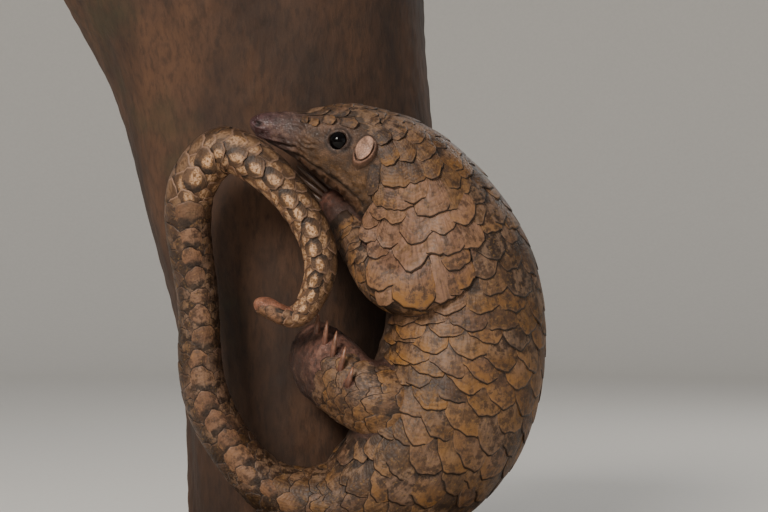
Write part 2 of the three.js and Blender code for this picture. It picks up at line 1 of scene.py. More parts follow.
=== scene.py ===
# %% [markdown]
# # A Sunda pangolin on a cut length of trunk
# A pangolin is the only mammal in a coat of scales. Each scale is a plate of keratin, the stuff of
# nails, rooted in the skin and free at its tip, and it overlaps the next ones as roof tiles do.
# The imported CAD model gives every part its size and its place. Here the same outlines are worked
# out again, finer, so that one skin, the scales, the claws and the bark lie where the solids are.

# %% Load the frame
import json
import math

import bpy
import numpy as np
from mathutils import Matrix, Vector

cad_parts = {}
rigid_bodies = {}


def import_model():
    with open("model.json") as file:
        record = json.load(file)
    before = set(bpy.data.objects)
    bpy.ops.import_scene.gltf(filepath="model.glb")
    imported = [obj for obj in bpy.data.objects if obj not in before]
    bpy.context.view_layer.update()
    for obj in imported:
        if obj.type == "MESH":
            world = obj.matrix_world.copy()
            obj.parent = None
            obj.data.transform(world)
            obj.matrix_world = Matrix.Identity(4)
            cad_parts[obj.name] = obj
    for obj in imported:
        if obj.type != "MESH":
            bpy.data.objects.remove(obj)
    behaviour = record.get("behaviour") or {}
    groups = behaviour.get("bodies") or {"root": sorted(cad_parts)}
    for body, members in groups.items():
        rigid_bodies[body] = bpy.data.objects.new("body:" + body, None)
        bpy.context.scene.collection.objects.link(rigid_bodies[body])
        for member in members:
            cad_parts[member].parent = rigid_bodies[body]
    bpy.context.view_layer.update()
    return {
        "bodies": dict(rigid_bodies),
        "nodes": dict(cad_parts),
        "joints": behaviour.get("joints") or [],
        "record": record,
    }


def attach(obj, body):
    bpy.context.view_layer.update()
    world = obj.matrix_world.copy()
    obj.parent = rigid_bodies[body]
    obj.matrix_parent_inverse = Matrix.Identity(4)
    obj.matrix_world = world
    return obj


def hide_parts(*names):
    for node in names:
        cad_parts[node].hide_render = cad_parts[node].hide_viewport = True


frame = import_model()
MM = 0.001
random = np.random.default_rng(7)
print("CAD nodes:", len(frame["nodes"]))

# %% [markdown]
# ## Camera, light and floor
# The photograph was taken level with the animal's back, from its left side, with a long lens. The
# camera stands 1.4 m away, so the lens that gives the same frame is close to 100 mm. A soft light
# from the upper left models the scales, a weaker one opens the shadows, and one from behind draws
# the outline of the back.

# %% Camera
LENS = 99.8
CAMERA_AT = (52, -1392, 218)

camera_data = bpy.data.cameras.new("camera")
camera_data.lens = LENS
camera_data.sensor_width = 36
camera_data.clip_end = 100
camera = bpy.data.objects.new("camera", camera_data)
camera.location = [v * MM for v in CAMERA_AT]
camera.rotation_euler = (math.radians(90), 0, 0)
bpy.context.collection.objects.link(camera)
bpy.context.scene.camera = camera

# %% Lights
LIGHTS = [
    # name, place and aim (mm), side (mm), power (W), colour
    ("key_light", (-750, -1450, 1250), (20, -60, 200), 550, 40, (1.0, 0.94, 0.86)),
    ("fill_light", (1500, -1200, 500), (20, -60, 200), 1500, 4, (0.93, 0.96, 1.0)),
    ("rim_light", (900, 1200, 1200), (40, -40, 220), 700, 6, (1.0, 0.98, 0.94)),
]


def add_light(name, place, aim, side, power, colour):
    """A square lamp at a place, turned so that it shines on the aim."""
    data = bpy.data.lights.new(name, "AREA")
    data.size = side * MM
    data.energy = power
    data.color = colour
    lamp = bpy.data.objects.new(name, data)
    way = Vector(aim) - Vector(place)
    lamp.location = [v * MM for v in place]
    lamp.rotation_euler = way.to_track_quat("-Z", "Y").to_euler()
    bpy.context.collection.objects.link(lamp)


for row in LIGHTS:
    add_light(*row)

# %% [markdown]
# ## Finishes: tools
# Every colour is written as the hex value that a paint chart would give, and one function turns it
# to the linear numbers that the renderer works with. A finish is a material together with short
# names for the nodes that draw its pattern.

# %% Tools for materials
def linear(code, alpha=1.0):
    """sRGB hex colour to linear: v/12.92 below 0.04045, else ((v + 0.055)/1.055) to the power 2.4."""
    parts = [int(code[i : i + 2], 16) / 255 for i in (1, 3, 5)]
    turned = [v / 12.92 if v <= 0.04045 else ((v + 0.055) / 1.055) ** 2.4 for v in parts]
    return (*turned, alpha)


class Finish:
    """A material with a Principled shader. Its methods add nodes and give back what comes out."""

    def __init__(self, name):
        self.material = bpy.data.materials.new(name)
        self.material.use_nodes = True
        self.tree = self.material.node_tree
        self.place = self.add("TexCoord")["Object"]

    def fill(self, node, inputs):
        """Gives sockets, by name or number, a value, a hex colour or another node's output."""
        for key, value in inputs.items():
            if isinstance(value, bpy.types.NodeSocket):
                self.tree.links.new(value, node.inputs[key])
            else:
                node.inputs[key].default_value = linear(value) if isinstance(value, str) else value

    def add(self, kind, inputs=None, **settings):
        """The outputs of a new node."""
        made = self.tree.nodes.new("ShaderNode" + kind)
        for key, value in settings.items():
            setattr(made, key, value)
        self.fill(made, inputs or {})
        return made.outputs

    def shade(self, inputs):
        """Fills inputs of the shader and gives back the material."""
        self.fill(self.tree.nodes["Principled BSDF"], inputs)
        return self.material

    def ramp(self, factor, *stops):
        """A colour ramp through (place, hex colour) stops."""
        out = self.add("ValToRGB", {"Fac": factor})["Color"]
        elements = out.node.color_ramp.elements
        while len(elements) < len(stops):
            elements.new(0.5)
        for element, (place, code) in zip(elements, stops):
            element.position = place
            element.color = linear(code)
        return out

    def blend(self, factor, a, b):
        """One colour over another by a factor."""
        return self.add("Mix", {0: factor, 6: a, 7: b}, data_type="RGBA")[2]

    def layers(self, colour, *coats):
        """Colours laid over one another, each by its own amount."""
        for amount, over in coats:
            colour = self.blend(amount, colour, over)
        return colour

    def sums(self, operation, a, b=0.0, c=0.0):
        """One step of arithmetic."""
        return self.add("Math", {0: a, 1: b, 2: c}, operation=operation)[0]

    def add_product(self, a, b, c):
        """a times b, plus c."""
        return self.sums("MULTIPLY_ADD", a, b, c)

    def times(self, total, *factors):
        """Product of some values."""
        for factor in factors:
            total = self.sums("MULTIPLY", total, factor)
        return total

    def rise(self, value, low, high, start=0.0, end=1.0):
        """Goes smoothly from start to end while the value goes from low to high."""
        ends = {"Value": value, "From Min": low, "From Max": high, "To Min": start, "To Max": end}
        return self.add("MapRange", ends, interpolation_type="SMOOTHSTEP")["Result"]

    def grain(self, size, detail=3.0, rough=0.55, vector=None, measure=MM):
        """Noise whose largest lumps are about "size" across, in millimetres of the object's place."""
        vector = self.place if vector is None else vector
        looks = {"Vector": vector, "Scale": 1 / (size * measure), "Detail": detail, "Roughness": rough}
        return self.add("TexNoise", looks)["Fac"]

    def squeezed(self, *scale, shift=(0, 0, 0)):
        """The object's place, squeezed along its axes so that a pattern gets longer along them."""
        return self.add("Mapping", {"Vector": self.place, "Location": shift, "Scale": scale})[0]

    def relief(self, height, depth_mm, strength):
        """Bump with a real depth in millimetres. Gives back the material."""
        made = self.add("Bump", {"Strength": strength, "Distance": depth_mm * MM, "Height": height})
        return self.shade({"Normal": made["Normal"]})


# %% [markdown]
# ## Surfaces: tools
# Most of the animal is a bent tube: a centre line with a half depth to the back, a half depth to
# the belly and a half width at each place. The same few stations as in the part's source give it.
# A point of the surface has two coordinates, the distance along the line and the angle from the
# middle of the back, so whole arrays of points are worked out at once.

# %% A tube through stations
def smooth(value, low=0.0, high=1.0):
    """Goes from 0 to 1 while the value goes from low to high, with flat ends: t t (3 - 2 t)."""
    t = np.clip((value - low) / (high - low), 0, 1)
    return t * t * (3 - 2 * t)


def fall(value, low, high):
    """Goes from 1 to 0 while the value goes from low to high."""
    return 1 - smooth(value, low, high)


def bell(distance, centre, width):
    """Bell curve: exp(-((d - centre)/width)^2)."""
    return np.exp(-(((distance - centre) / width) ** 2))


def circle(count):
    """Evenly spaced angles around a circle."""
    return np.linspace(0, 2 * np.pi, count, endpoint=False)


def paired(a, b):
    """Two tables that pair every value of the one with every value of the other."""
    return np.meshgrid(a, b, indexing="ij")


def together(*coordinates):
    """One array of points from arrays of coordinates that fit together."""
    return np.stack(np.broadcast_arrays(*coordinates), -1)


def lathe(radii, levels, around, middle=(0, 0)):
    """Rings of points around an upright axis, one for each radius and level."""
    a, radii = circle(around), radii[:, None]
    return together(middle[0] + radii * np.cos(a), middle[1] + radii * np.sin(a), levels[:, None])


def through_rows(at, rows, s):
    """Cubic curve through rows at the distances "at": each slope is that of the neighbours' chord."""
    index = np.arange(len(at))
    before, after = np.maximum(index - 1, 0), np.minimum(index + 1, len(at) - 1)
    slope = (rows[after] - rows[before]) / (at[after] - at[before])[:, None]
    i = np.clip(np.searchsorted(at, s) - 1, 0, len(at) - 2)
    span = (at[i + 1] - at[i])[..., None]
    t = (s - at[i])[..., None] / span
    near = (1 + 2 * t) * (1 - t) ** 2 * rows[i] + t * (1 - t) ** 2 * span * slope[i]
    far = t * t * (3 - 2 * t) * rows[i + 1] + t * t * (t - 1) * span * slope[i + 1]
    return near + far


def norm(v):
    """Lengths of vectors."""
    return np.linalg.norm(v, axis=-1)


def unit(v):
    """Vectors made one long."""
    return v / norm(v)[..., None]


class Tube:
    """A bent tube through stations of x, y, z, half depth to the back and to the belly, half width, turn."""

    def __init__(self, stations, axis=(0, 1, 0), round_start=0.0, round_end=0.0):
        self.rows = np.array(stations, float)
        steps = norm(np.diff(self.rows[:, :3], axis=0))
        self.at = np.concatenate([[0], np.cumsum(steps)])
        self.length = self.at[-1]
        self.axis = np.array(axis, float)
        self.rounds = (round_start, round_end)

    def section(self, s):
        """Centre, the ways along, to the back and to the left, and the three half sizes at s."""
        s = np.asarray(s, float)
        row = through_rows(self.at, self.rows, s)
        ahead = through_rows(self.at, self.rows, np.minimum(s + 0.5, self.length))[..., :3]
        behind = through_rows(self.at, self.rows, np.maximum(s - 0.5, 0))[..., :3]
        along = unit(ahead - behind)
        flat = unit(np.cross(along, self.axis))
        side = np.cross(along, flat)
        turn = np.radians(row[..., 6:7])
        back = flat * np.cos(turn) + side * np.sin(turn)
        left = np.cross(along, back)
        dome = np.ones_like(s)
        for distance, reach in zip((s, self.length - s), self.rounds):
            if reach:
                dome = dome * np.sqrt(np.clip(1 - (1 - np.minimum(distance / reach, 1)) ** 2, 0, 1))
        return row[..., :3], along, back, left, row[..., 3:6] * dome[..., None]

    def point(self, s, angle, lift=0.0):
        """Centre + back (depth + lift) cos a + left (width + lift) sin a."""
        s, angle, lift = np.broadcast_arrays(np.asarray(s, float), angle, lift)
        centre, _, back, left, half = self.section(s)
        cosine, sine = np.cos(angle), np.sin(angle)
        depth = np.where(cosine > 0, half[..., 0], half[..., 1])
        return (
            centre
            + back * ((depth + lift) * cosine)[..., None]
            + left * ((half[..., 2] + lift) * sine)[..., None]
        )

    def girth(self, s, angle):
        """Millimetres around the tube for each radian."""
        half = self.section(np.clip(s, 0, self.length))[4]
        depth = np.where(np.cos(angle) > 0, half[:, 0], half[:, 1])
        return np.hypot(depth * np.sin(angle), half[:, 2] * np.cos(angle)).clip(4)

    def outside(self, points, samples=80):
        """Roughly how far points lie outside the tube: their share of the section's size, less one."""
        s = np.linspace(0, self.length, samples)
        centre, _, back, left, half = self.section(s)
        gap = points[:, None, :] - centre[None]
        i = np.argmin((gap**2).sum(-1), axis=1)
        off = gap[np.arange(len(points)), i]
        b, w = (off * back[i]).sum(-1), (off * left[i]).sum(-1)
        depth = np.where(b > 0, half[i, 0], half[i, 1])
        radius = np.hypot(b, w) + 1e-9
        share = np.hypot(b / np.maximum(depth, 1e-3), w / np.maximum(half[i, 2], 1e-3))
        beyond_end = norm(off) - radius
        return radius * (1 - 1 / np.maximum(share, 1e-3)) + np.maximum(beyond_end, 0)


# %% Meshes from arrays
def ring_faces(rings, around):
    """Quads between rings of points that close around, each (row, next) pair facing outwards."""
    row = np.arange(rings - 1)[:, None] * around
    here = np.arange(around)[None, :]
    after = (here + 1) % around
    corners = [row + here, row + after, row + around + after, row + around + here]
    return np.stack(corners, -1).reshape(-1, 4)


def closed_tube(grid):
    """Points and faces of rings, with a middle point on each end so that the surface is closed."""
    rings, around = grid.shape[:2]
    points = np.concatenate([grid.reshape(-1, 3), [grid[0].mean(0)], [grid[-1].mean(0)]])
    here = list(range(around))
    pairs = list(zip(here, here[1:] + here[:1]))
    first, base = rings * around, (rings - 1) * around
    start = [(first, after, corner) for corner, after in pairs]
    end = [(first + 1, base + corner, base + after) for corner, after in pairs]
    return points, ring_faces(rings, around).tolist() + start + end


def with_ends(values):
    """Values of a closed tube's points, with those of its two end points put after them."""
    return np.concatenate([values, values[:1], values[-1:]])


def joined(parts):
    """One list of points and faces from several."""
    points, faces, first = [], [], 0
    for some_points, some_faces in parts:
        points.append(some_points)
        faces += [[first + corner for corner in face] for face in some_faces]
        first += len(some_points)
    return np.concatenate(points), faces


def new_piece(name, points, faces, material):
    """A smooth-shaded object from points in millimetres, at the origin."""
    mesh = bpy.data.meshes.new(name)
    mesh.from_pydata((points * MM).tolist(), [], faces if isinstance(faces, list) else faces.tolist())
    mesh.polygons.foreach_set("use_smooth", np.ones(len(mesh.polygons), bool))
    if material:
        mesh.materials.append(material)
    piece = bpy.data.objects.new(name, mesh)
    bpy.context.collection.objects.link(piece)
    return piece


def colour_points(piece, name, colours):
    """Gives each point of a piece a colour, under a name that materials can read."""
    made = piece.data.color_attributes.new(name, "FLOAT_COLOR", "POINT")
    made.data.foreach_set("color", colours.ravel())


def waves(points, size, seed, count=14):
    """Smooth noise from -1 to 1: the mean of cosines in random directions, lumps about "size" across."""
    rng = np.random.default_rng(seed)
    ways = unit(rng.normal(size=(count, 3))) * (2 * np.pi / size) * rng.uniform(0.6, 1.4, (count, 1))
    phases = rng.uniform(0, 2 * np.pi, count)
    flat = points.reshape(-1, 3)
    total = sum(np.cos(flat @ way + phase) for way, phase in zip(ways, phases))
    return np.clip(total / math.sqrt(count), -1.6, 1.6).reshape(points.shape[:-1])


# %% [markdown]
# ## The studio
# Pale paper lies flat around the stand and sweeps up into a low round wall, so that no horizon shows.
# The sky over it is an even pale grey.

# %% Paper and sky
PAPER = {"flat": 2500, "bend": 700, "top": 1500, "around": 96, "steps": 14}


def studio_paper():
    """Matt background paper: nearly white, no gloss, a trace of fibre."""
    paper = Finish("studio_paper")
    tone = paper.ramp(paper.grain(6.0, detail=4), (0.3, "#e2dfd9"), (0.7, "#e6e3dd"))
    return paper.shade({"Base Color": tone, "Roughness": 0.9})


def paper_sweep():
    """Rings of a flat disc, a quarter circle up and a wall, closed in the middle of the floor."""
    flat, bend, top, around, steps = PAPER.values()
    q = np.linspace(0, np.pi / 2, steps)
    out = np.concatenate([[1, flat / 2], flat + bend * np.sin(q), [flat + bend]])
    up = np.concatenate([[0, 0], bend * (1 - np.cos(q)), [top]])
    grid = lathe(out, up, around)
    faces = ring_faces(len(grid), around)[:, ::-1].tolist()
    return grid.reshape(-1, 3), faces + [list(range(around))]


floor = new_piece("floor", *paper_sweep(), studio_paper())

world = bpy.data.worlds.new("studio")
world.use_nodes = True
sky = world.node_tree.nodes["Background"]
sky.inputs["Color"].default_value = linear("#dcdde0")
sky.inputs["Strength"].default_value = 0.4
bpy.context.scene.world = world

# %% [markdown]
# ## Stations of the body and limbs
# The body runs from the nose to the tip of the tail, and each limb from inside the body to its toes.
# The numbers are those of the part's source, but for the crown, the sizes of claws and toes and the
# coat of the left forearm, which come closer to the photograph here.

# %% Body
CROWN = {"along": 54, "reach": 17, "half_angle": 45, "height": 3.2}


class Body(Tube):
    """The body's tube, with the crown over the eyes a little higher, as in the photograph."""

    def point(self, s, angle, lift=0.0):
        """The tube's point, lifted by two bell curves: one of the distance along, one of the angle."""
        along = bell(s, CROWN["along"], CROWN["reach"])
        around = bell(np.degrees(np.arccos(np.cos(angle))), 0, CROWN["half_angle"])
        return super().point(s, angle, lift + CROWN["height"] * along * around)


NOSE_ROUND, TAIL_ROUND = 9, 7
BODY = Body(
    [
        [-30, -89, 300.6, 6, 6, 6, 0], [-22.7, -89, 298.5, 8, 8, 7.5, 0],
        [-5.5, -89, 293.9, 13, 12.5, 11.5, 0], [9.8, -89, 289.6, 18.6, 18, 16.5, 0],
        [25.1, -89, 284.7, 24.5, 24, 21.5, 0], [39.8, -88, 279.2, 29.4, 29, 26, 2],
        [54.5, -86, 271.4, 34.4, 34, 31, 5], [69.8, -83, 257.3, 38.7, 38, 36, 10],
        [85.3, -80, 235.3, 43.1, 42, 41, 18], [97.1, -78, 208.1, 47.5, 46, 45, 25],
        [101.4, -78, 179.7, 49.4, 49, 47, 28], [98.2, -80, 150.2, 51.8, 51, 49, 25],
        [88.3, -83, 122.1, 52.9, 51, 49, 18], [71, -85, 97.1, 49.1, 46, 46, 8],
        [46.5, -85, 77.5, 38.5, 36, 40, 0], [16, -85, 67.5, 25, 23, 31, 0],
        [-21.7, -85, 80.5, 16.5, 14.5, 24, 0], [-55.6, -83, 129.5, 15, 13, 19, 4],
        [-62, -81, 190, 13, 11.7, 17.5, 8], [-66.3, -87, 255, 15.3, 13.5, 17, 9],
        [-44.1, -97, 281.3, 15, 13, 15.5, 10], [-7.2, -106, 256.7, 12.2, 10.6, 12.5, 6],
        [13.2, -108, 216, 10.6, 9.4, 10.5, 3], [0, -104, 182.5, 7.2, 6.4, 8.2, 3],
        [-27, -102, 190, 5.6, 5.6, 7, 3],
    ],
    round_start=NOSE_ROUND,
    round_end=TAIL_ROUND,
)
print("nose to tip of the tail:", round(BODY.length), "mm")

# %% Feet and limbs
# Toes: share of each claw's length, radius of a claw and of a toe, colour of the foot, colours of a
# claw's root and tip.
LONG = {"lengths": [0.6, 0.9, 1, 0.85, 0.5], "radius": 2.7, "toe": 4.4, "foot": "#6e4436"}
LONG["claw"] = ("#2e1d15", "#664b37")
SHORT = {"lengths": [0.7, 0.95, 1, 0.95, 0.7], "radius": 2.4, "toe": 4.6, "foot": "#80584a"}
SHORT["claw"] = ("#6b4436", "#96694f")
FOOT_ROUND = 10
# Axis: the way across the limb's bend. Stations: x, y, z, half depth to the outer side and to the inner
# side, half width. Coats: middle and half angle covered (degrees), relief of a scale, where it starts
# and ends, way of the tips. Claws: roots of the first and the last, their tips, and the bow of all.
LIMBS = {
    "foreleg_left": {
        "axis": (0, 1, 0),
        "stations": [
            [96, -84, 246, 22, 20, 20], [93, -97, 232, 27, 22, 23], [86, -106, 218, 30, 20, 22],
            [75, -110, 208, 28, 13, 19.5], [63, -109, 204, 22, 10, 17], [52, -103, 208, 18, 9, 15],
            [43, -94, 219, 15, 12, 14.5], [34, -80, 232, 14, 13, 13.5], [26, -68, 246, 14, 13, 12.5],
            [20, -58, 259, 12, 11, 10],
        ],
        "coats": [(75, 125, 1.2, 0, 54, 1), (130, 150, 0.8, 54, 127, -1)],
        "claws": ([20, -64, 247], [29, -64, 256], [-8, -60, 268], [2, -60, 282], [0, -4, 0]),
        "toes": LONG,
    },
    "foreleg_right": {
        "axis": (1, 0, 0),
        "stations": [
            [92, -70, 248, 20, 20, 19], [98, -61, 236, 23, 19, 20], [103, -52, 225, 23, 16, 19],
            [107, -43, 216, 22, 11, 17], [109, -33, 212, 19, 9, 16], [107, -23, 213, 16, 9, 15],
            [104, -14, 220, 15, 12, 14.5], [99, -5, 233, 14, 13, 13.5], [94, 2, 247, 14, 13, 12.5],
            [89, 8, 260, 12, 11, 10],
        ],
        "coats": [(-75, 125, 1.2, 0, 47, 1), (-75, 110, 0.8, 47, 102, -1)],
        "claws": ([92, 0, 255], [90, 8, 249], [84, 17, 283], [80, 28, 275], [5, 0, 0]),
        "toes": LONG,
    },
    "hindleg_left": {
        "axis": (0, 0, -1),
        "stations": [
            [90, -86, 112, 20, 20, 24], [77, -95, 118, 24, 24, 27], [62, -103, 125, 23, 22, 26],
            [47, -105, 131, 20, 20, 23], [34, -99, 137, 18, 18, 22], [23, -89, 145, 18, 18, 23],
            [15, -77, 151, 18, 18, 24], [10, -66, 155, 17, 17, 22], [8, -55, 157, 14, 14, 17],
        ],
        "coats": [(-35, 105, 1, 0, 74, 1)],
        "claws": ([11, -88, 170], [30, -116, 140], [12, -90, 189], [35, -121, 157], [0, -3, 0]),
        "toes": SHORT,
    },
    "hindleg_right": {
        "axis": (0, 0, 1),
        "stations": [
            [80, -74, 112, 20, 20, 24], [93, -65, 117, 24, 24, 26], [105, -53, 123, 22, 22, 25],
            [112, -39, 129, 20, 20, 23], [114, -25, 135, 18, 18, 22], [111, -12, 139, 18, 18, 22],
            [106, -1, 142, 18, 18, 23], [100, 8, 144, 16, 16, 22], [93, 15, 145, 13, 13, 17],
        ],
        "coats": [(35, 105, 1, 0, 74, 1)],
        "claws": ([104, -2, 158], [98, 15, 157], [101, 3, 177], [91, 22, 175], [3, 0, 0]),
        "toes": SHORT,
    },
}
for limb in LIMBS.values():
    limb["tube"] = Tube([[*row, 0] for row in limb["stations"]], limb["axis"], round_end=FOOT_ROUND)

# %% [markdown]
# ## Where the scales lie
# Scales cover the forehead, the back and sides, all of the tail and the outer side of the limbs.
# The muzzle, cheeks, belly and the inner side of the limbs are bare. The relief of a scale grows
# from the forehead to the loin and falls again along the tail, so the skin lies deeper where the
# coat is thick: both follow from one table.

# %% The body's coat
# distance along (mm), half angle covered (degrees), relief step (mm), ring pitch (mm)
COAT = np.array(
    [
        [0, 0, 0, 4], [20, 0, 0, 4.2], [28, 48, 0.5, 4.6], [66, 60, 0.7, 6.2],
        [80, 70, 0.8, 7.2], [91, 124, 0.9, 7.6], [114, 148, 1, 8.5], [150, 142, 1.15, 9.2],
        [200, 134, 1.3, 9.6], [290, 128, 1.3, 9.8], [308, 150, 1.2, 9.4], [324, 200, 1.1, 9],
        [350, 200, 1, 8], [440, 200, 0.95, 6.6], [640, 200, 0.75, 6], [700, 200, 0.62, 5],
        [750, 200, 0.5, 3.6], [756, 0, 0.3, 3.4], [790, 0, 0.3, 3.4],
    ]
)
SINK = 1.1
EDGE_FADE = 10


def degrees_from(angle, middle):
    """Size of the turn between two angles, the first in radians and the second in degrees."""
    off = np.abs(np.degrees(angle) - middle) % 360
    return np.minimum(off, 360 - off)


def body_step(s, angle):
    """Relief step of the coat at a place of the body, 0 where it is bare."""
    half = np.interp(s, COAT[:, 0], COAT[:, 1])
    step = np.interp(s, COAT[:, 0], COAT[:, 2])
    value = step * np.clip((half - degrees_from(angle, 0)) / EDGE_FADE, 0, 1)
    return np.where(value < 0.1, 0, value)


def limb_step(limb, s, angle):
    """Relief step of the coats on a limb."""
    total = np.zeros(np.broadcast(s, angle).shape)
    for middle, half, step, start, until, _ in limb["coats"]:
        around = np.clip((half - degrees_from(angle, middle)) / EDGE_FADE, 0, 1)
        along = np.clip((until + 4 - s) / 8, 0, 1) * np.clip((s - start + 6) / 6, 0, 1)
        total = np.maximum(total, step * around * along)
    return total


# %% [markdown]
# ## The face
# The face is worked into the skin itself, as depths and swellings around landmarks: a ring of lid
# around each eye, the slit of each nostril with its rim, the line of the mouth between two lips,
# and loose folds on the cheek. Each is a bell curve of the distance to its landmark. The nostrils lie
# a little lower than in the part's source, as in the photograph.

# %% Landmarks of the head
# distance along (mm), angle from the back (degrees), and how far round them no scale starts (mm)
EYE = {"along": 55.3, "angle": 84, "radius": 6.2, "sunk": 3.2, "clear": 12.5}
EAR = {"along": 72.2, "angle": 81.5, "clear": 12}
NOSTRIL = {"along": 5.5, "angle": 94}
MOUTH = {"front": 9, "corner": 31, "angle": 128}
SIDES = {"left": 1, "right": -1}


def skin_frames(landmark):
    """On each side the landmark's place on the skin, the ways along and around, and the way out."""
    along, frames = landmark["along"], {}
    for side, sign in SIDES.items():
        a = sign * math.radians(landmark["angle"])
        origin = BODY.point(along, a)
        t = unit(BODY.point(along + 0.5, a) - BODY.point(along - 0.5, a))
        turned = unit(BODY.point(along, a + 0.02) - BODY.point(along, a - 0.02))
        out = unit(np.cross(turned, t))
        out *= np.sign(np.dot(out, origin - BODY.section(along)[0]))
        frames[side] = (origin, t, unit(np.cross(out, t)), out)
    return frames


EYE_FRAMES, EAR_FRAMES, NOSE_FRAMES = (skin_frames(landmark) for landmark in (EYE, EAR, NOSTRIL))


def mouth_line(share):
    """Places along the mouth from one corner (-1) by the chin (0) to the other (1)."""
    angle = math.pi + share * (math.pi - math.radians(MOUTH["angle"]))
    along = MOUTH["front"] + (MOUTH["corner"] - MOUTH["front"]) * np.abs(share) ** 1.6
    return BODY.point(along, angle)


EYE_REACH, NOSTRIL_REACH = 30, 12
FAR = 99.0  # stands for any distance beyond a reach


def from_eye(points, frame, ragged):
    """Distance from an eye's middle over the skin, a little oval and uneven."""
    origin, along, around, _ = frame
    off = points - origin
    d = np.hypot((off @ along) * 0.95, (off @ around) * 1.06) + ragged * waves(points, 9, 21)
    return np.where(norm(off) < EYE_REACH, d, FAR)


def face_relief(points, s, angle):
    """Height of the face's features over the plain tube, in mm, for an array of points."""
    height = np.zeros(points.shape[:-1])
    for frame in EYE_FRAMES.values():
        d = from_eye(points, frame, 0.35)
        height += 1.5 * bell(d, 5.9, 1.15) - 3.4 * smooth(5.2 - d, 0, 1.1)
        creases = 0.6 + 0.6 * waves(points, 7, 23)
        height += creases * (0.3 * bell(d, 9.6, 1.0) - 0.4 * bell(d, 7.7, 0.6) - 0.25 * bell(d, 11.4, 0.6))
        height += 0.35 * waves(points, 2.6, 24) * bell(d, 8, 2.6)
    for origin, along, around, _ in NOSE_FRAMES.values():
        off = points - origin
        d = np.hypot((off @ along) * 0.55 + (off @ around) * 0.3, (off @ around) * 1.25)
        d = np.where(norm(off) < NOSTRIL_REACH, d, FAR)
        height += 0.5 * bell(d, 2.8, 0.8) - 2.9 * bell(d, 0, 1.4)
    line = mouth_line(np.linspace(-1, 1, 60))
    near = s < 45
    gap = np.full(points.shape[:-1], FAR)
    gap[near] = np.sqrt(((points[near][:, None, :] - line[None]) ** 2).sum(-1)).min(1)
    height += 0.9 * bell(gap, 2.4, 1.1) - 1.5 * bell(gap, 0, 0.7)
    off_back = degrees_from(angle, 0)
    side = smooth(off_back, 40, 75) * fall(off_back, 138, 150)
    cheek = side * smooth(s, 18, 34) * fall(s, 84, 96)
    slant = s * 0.5 + points[..., 2] * 0.85
    folds = np.sin(2 * np.pi * slant / 3.1 + 2.6 * waves(points, 13, 3)) * (0.5 + 0.5 * waves(points, 9, 19))
    height += cheek * (0.38 * folds + 0.35 * waves(points, 6, 4) + 0.2 * waves(points, 2.4, 18))
    jaw = smooth(s, 26, 36) * fall(s, 78, 92)
    height += jaw * (0.7 * bell(off_back, 137, 6) - 2.2 * bell(off_back, 145, 3.4))
    throat = jaw * smooth(off_back, 148, 156)
    wander = waves(points, 9, 21)
    height += throat * (0.5 * waves(points, 7, 17) + 0.3 * np.sin(2 * np.pi * s / 5.5 + wander))
    height += 0.22 * waves(points, 4, 5) * fall(s, 20, 30) * smooth(s, 2, 8)
    return height


# %% [markdown]
# ## One skin
# The body and the four limbs are separate tubes. A Boolean union makes one closed skin of them,
# and the vertices near each new edge are then relaxed towards their neighbours' mean, so that a
# limb grows out of the body with a soft fold instead of a crease. The toes are short rounded
# tubes, joined in the same union.

# %% Skin of the body
# points round the body and how much denser they are at its sides
AROUND, SIDE_DENSITY = 160, 0.42
# steps along it (mm): fine ones over the head, then coarse ones
FINE_STEP, FINE_END, COARSE_STEP = 0.62, 96, 2.8
turn = circle(AROUND)
body_angles = turn + SIDE_DENSITY * np.sin(2 * turn) / 2
nose = NOSE_ROUND * (1 - np.cos(np.linspace(0.06, np.pi / 2, 15)))[:-1]
tail_tip = BODY.length - TAIL_ROUND * (1 - np.cos(np.linspace(np.pi / 2, 0.06, 9)))
fine = np.arange(NOSE_ROUND, FINE_END, FINE_STEP)
coarse = np.arange(FINE_END, BODY.length - 8, COARSE_STEP)
body_places = np.concatenate([nose, fine, coarse, tail_tip])
s_grid, a_grid = paired(body_places, body_angles)
plain = BODY.point(s_grid, a_grid)
lift = face_relief(plain, s_grid, a_grid) - SINK * body_step(s_grid, a_grid)
belly = smooth(degrees_from(a_grid, 0), 110, 135) * smooth(s_grid, 60, 110)
lift += belly * 0.5 * waves(plain, 12, 6)
body_skin = closed_tube(BODY.point(s_grid, a_grid, lift))

# %% Outline of the trunk
# height, middle's x and y, half sizes across and in depth
TRUNK = np.array(
    [
        [44, 6, 30, 84, 75], [155, 4, 30, 88, 78], [235, -8, 32, 96, 84],
        [322, -22, 34, 105, 90], [398, -42, 33, 122, 98],
    ],
    float,
)
SWELLS = {"count": 10, "height": 1.5}


def trunk_point(z, a, lift=0.0):
    """Half sizes times 1 + 0.02 sin(3a) + 0.012 sin(5a), and ten low upright swellings, cos(10a)."""
    row = through_rows(TRUNK[:, 0], TRUNK, z)
    lobes = 1 + 0.02 * np.sin(3 * a + z / 90) + 0.012 * np.sin(5 * a - z / 60)
    fade = 0.65 + 0.35 * np.sin(2 * a + z / 70)
    out = SWELLS["height"] * fade * np.cos(SWELLS["count"] * a + 1.2 * np.sin(z / 75)) + lift
    x = row[..., 1] + (row[..., 3] * lobes + out) * np.cos(a)
    y = row[..., 2] + (row[..., 4] * lobes + out) * np.sin(a)
    return together(x, y, z)


def off_bark(points, clearance):
    """Points moved out of the trunk until they keep the clearance to its bark."""
    row = through_rows(TRUNK[:, 0], TRUNK, points[:, 2])
    dx, dy = points[:, 0] - row[:, 1], points[:, 1] - row[:, 2]
    bark = trunk_point(points[:, 2], np.arctan2(dy / row[:, 4], dx / row[:, 3]), clearance)
    far = np.hypot(dx, dy) > np.hypot(bark[:, 0] - row[:, 1], bark[:, 1] - row[:, 2])
    return np.where(far[:, None], points, bark)


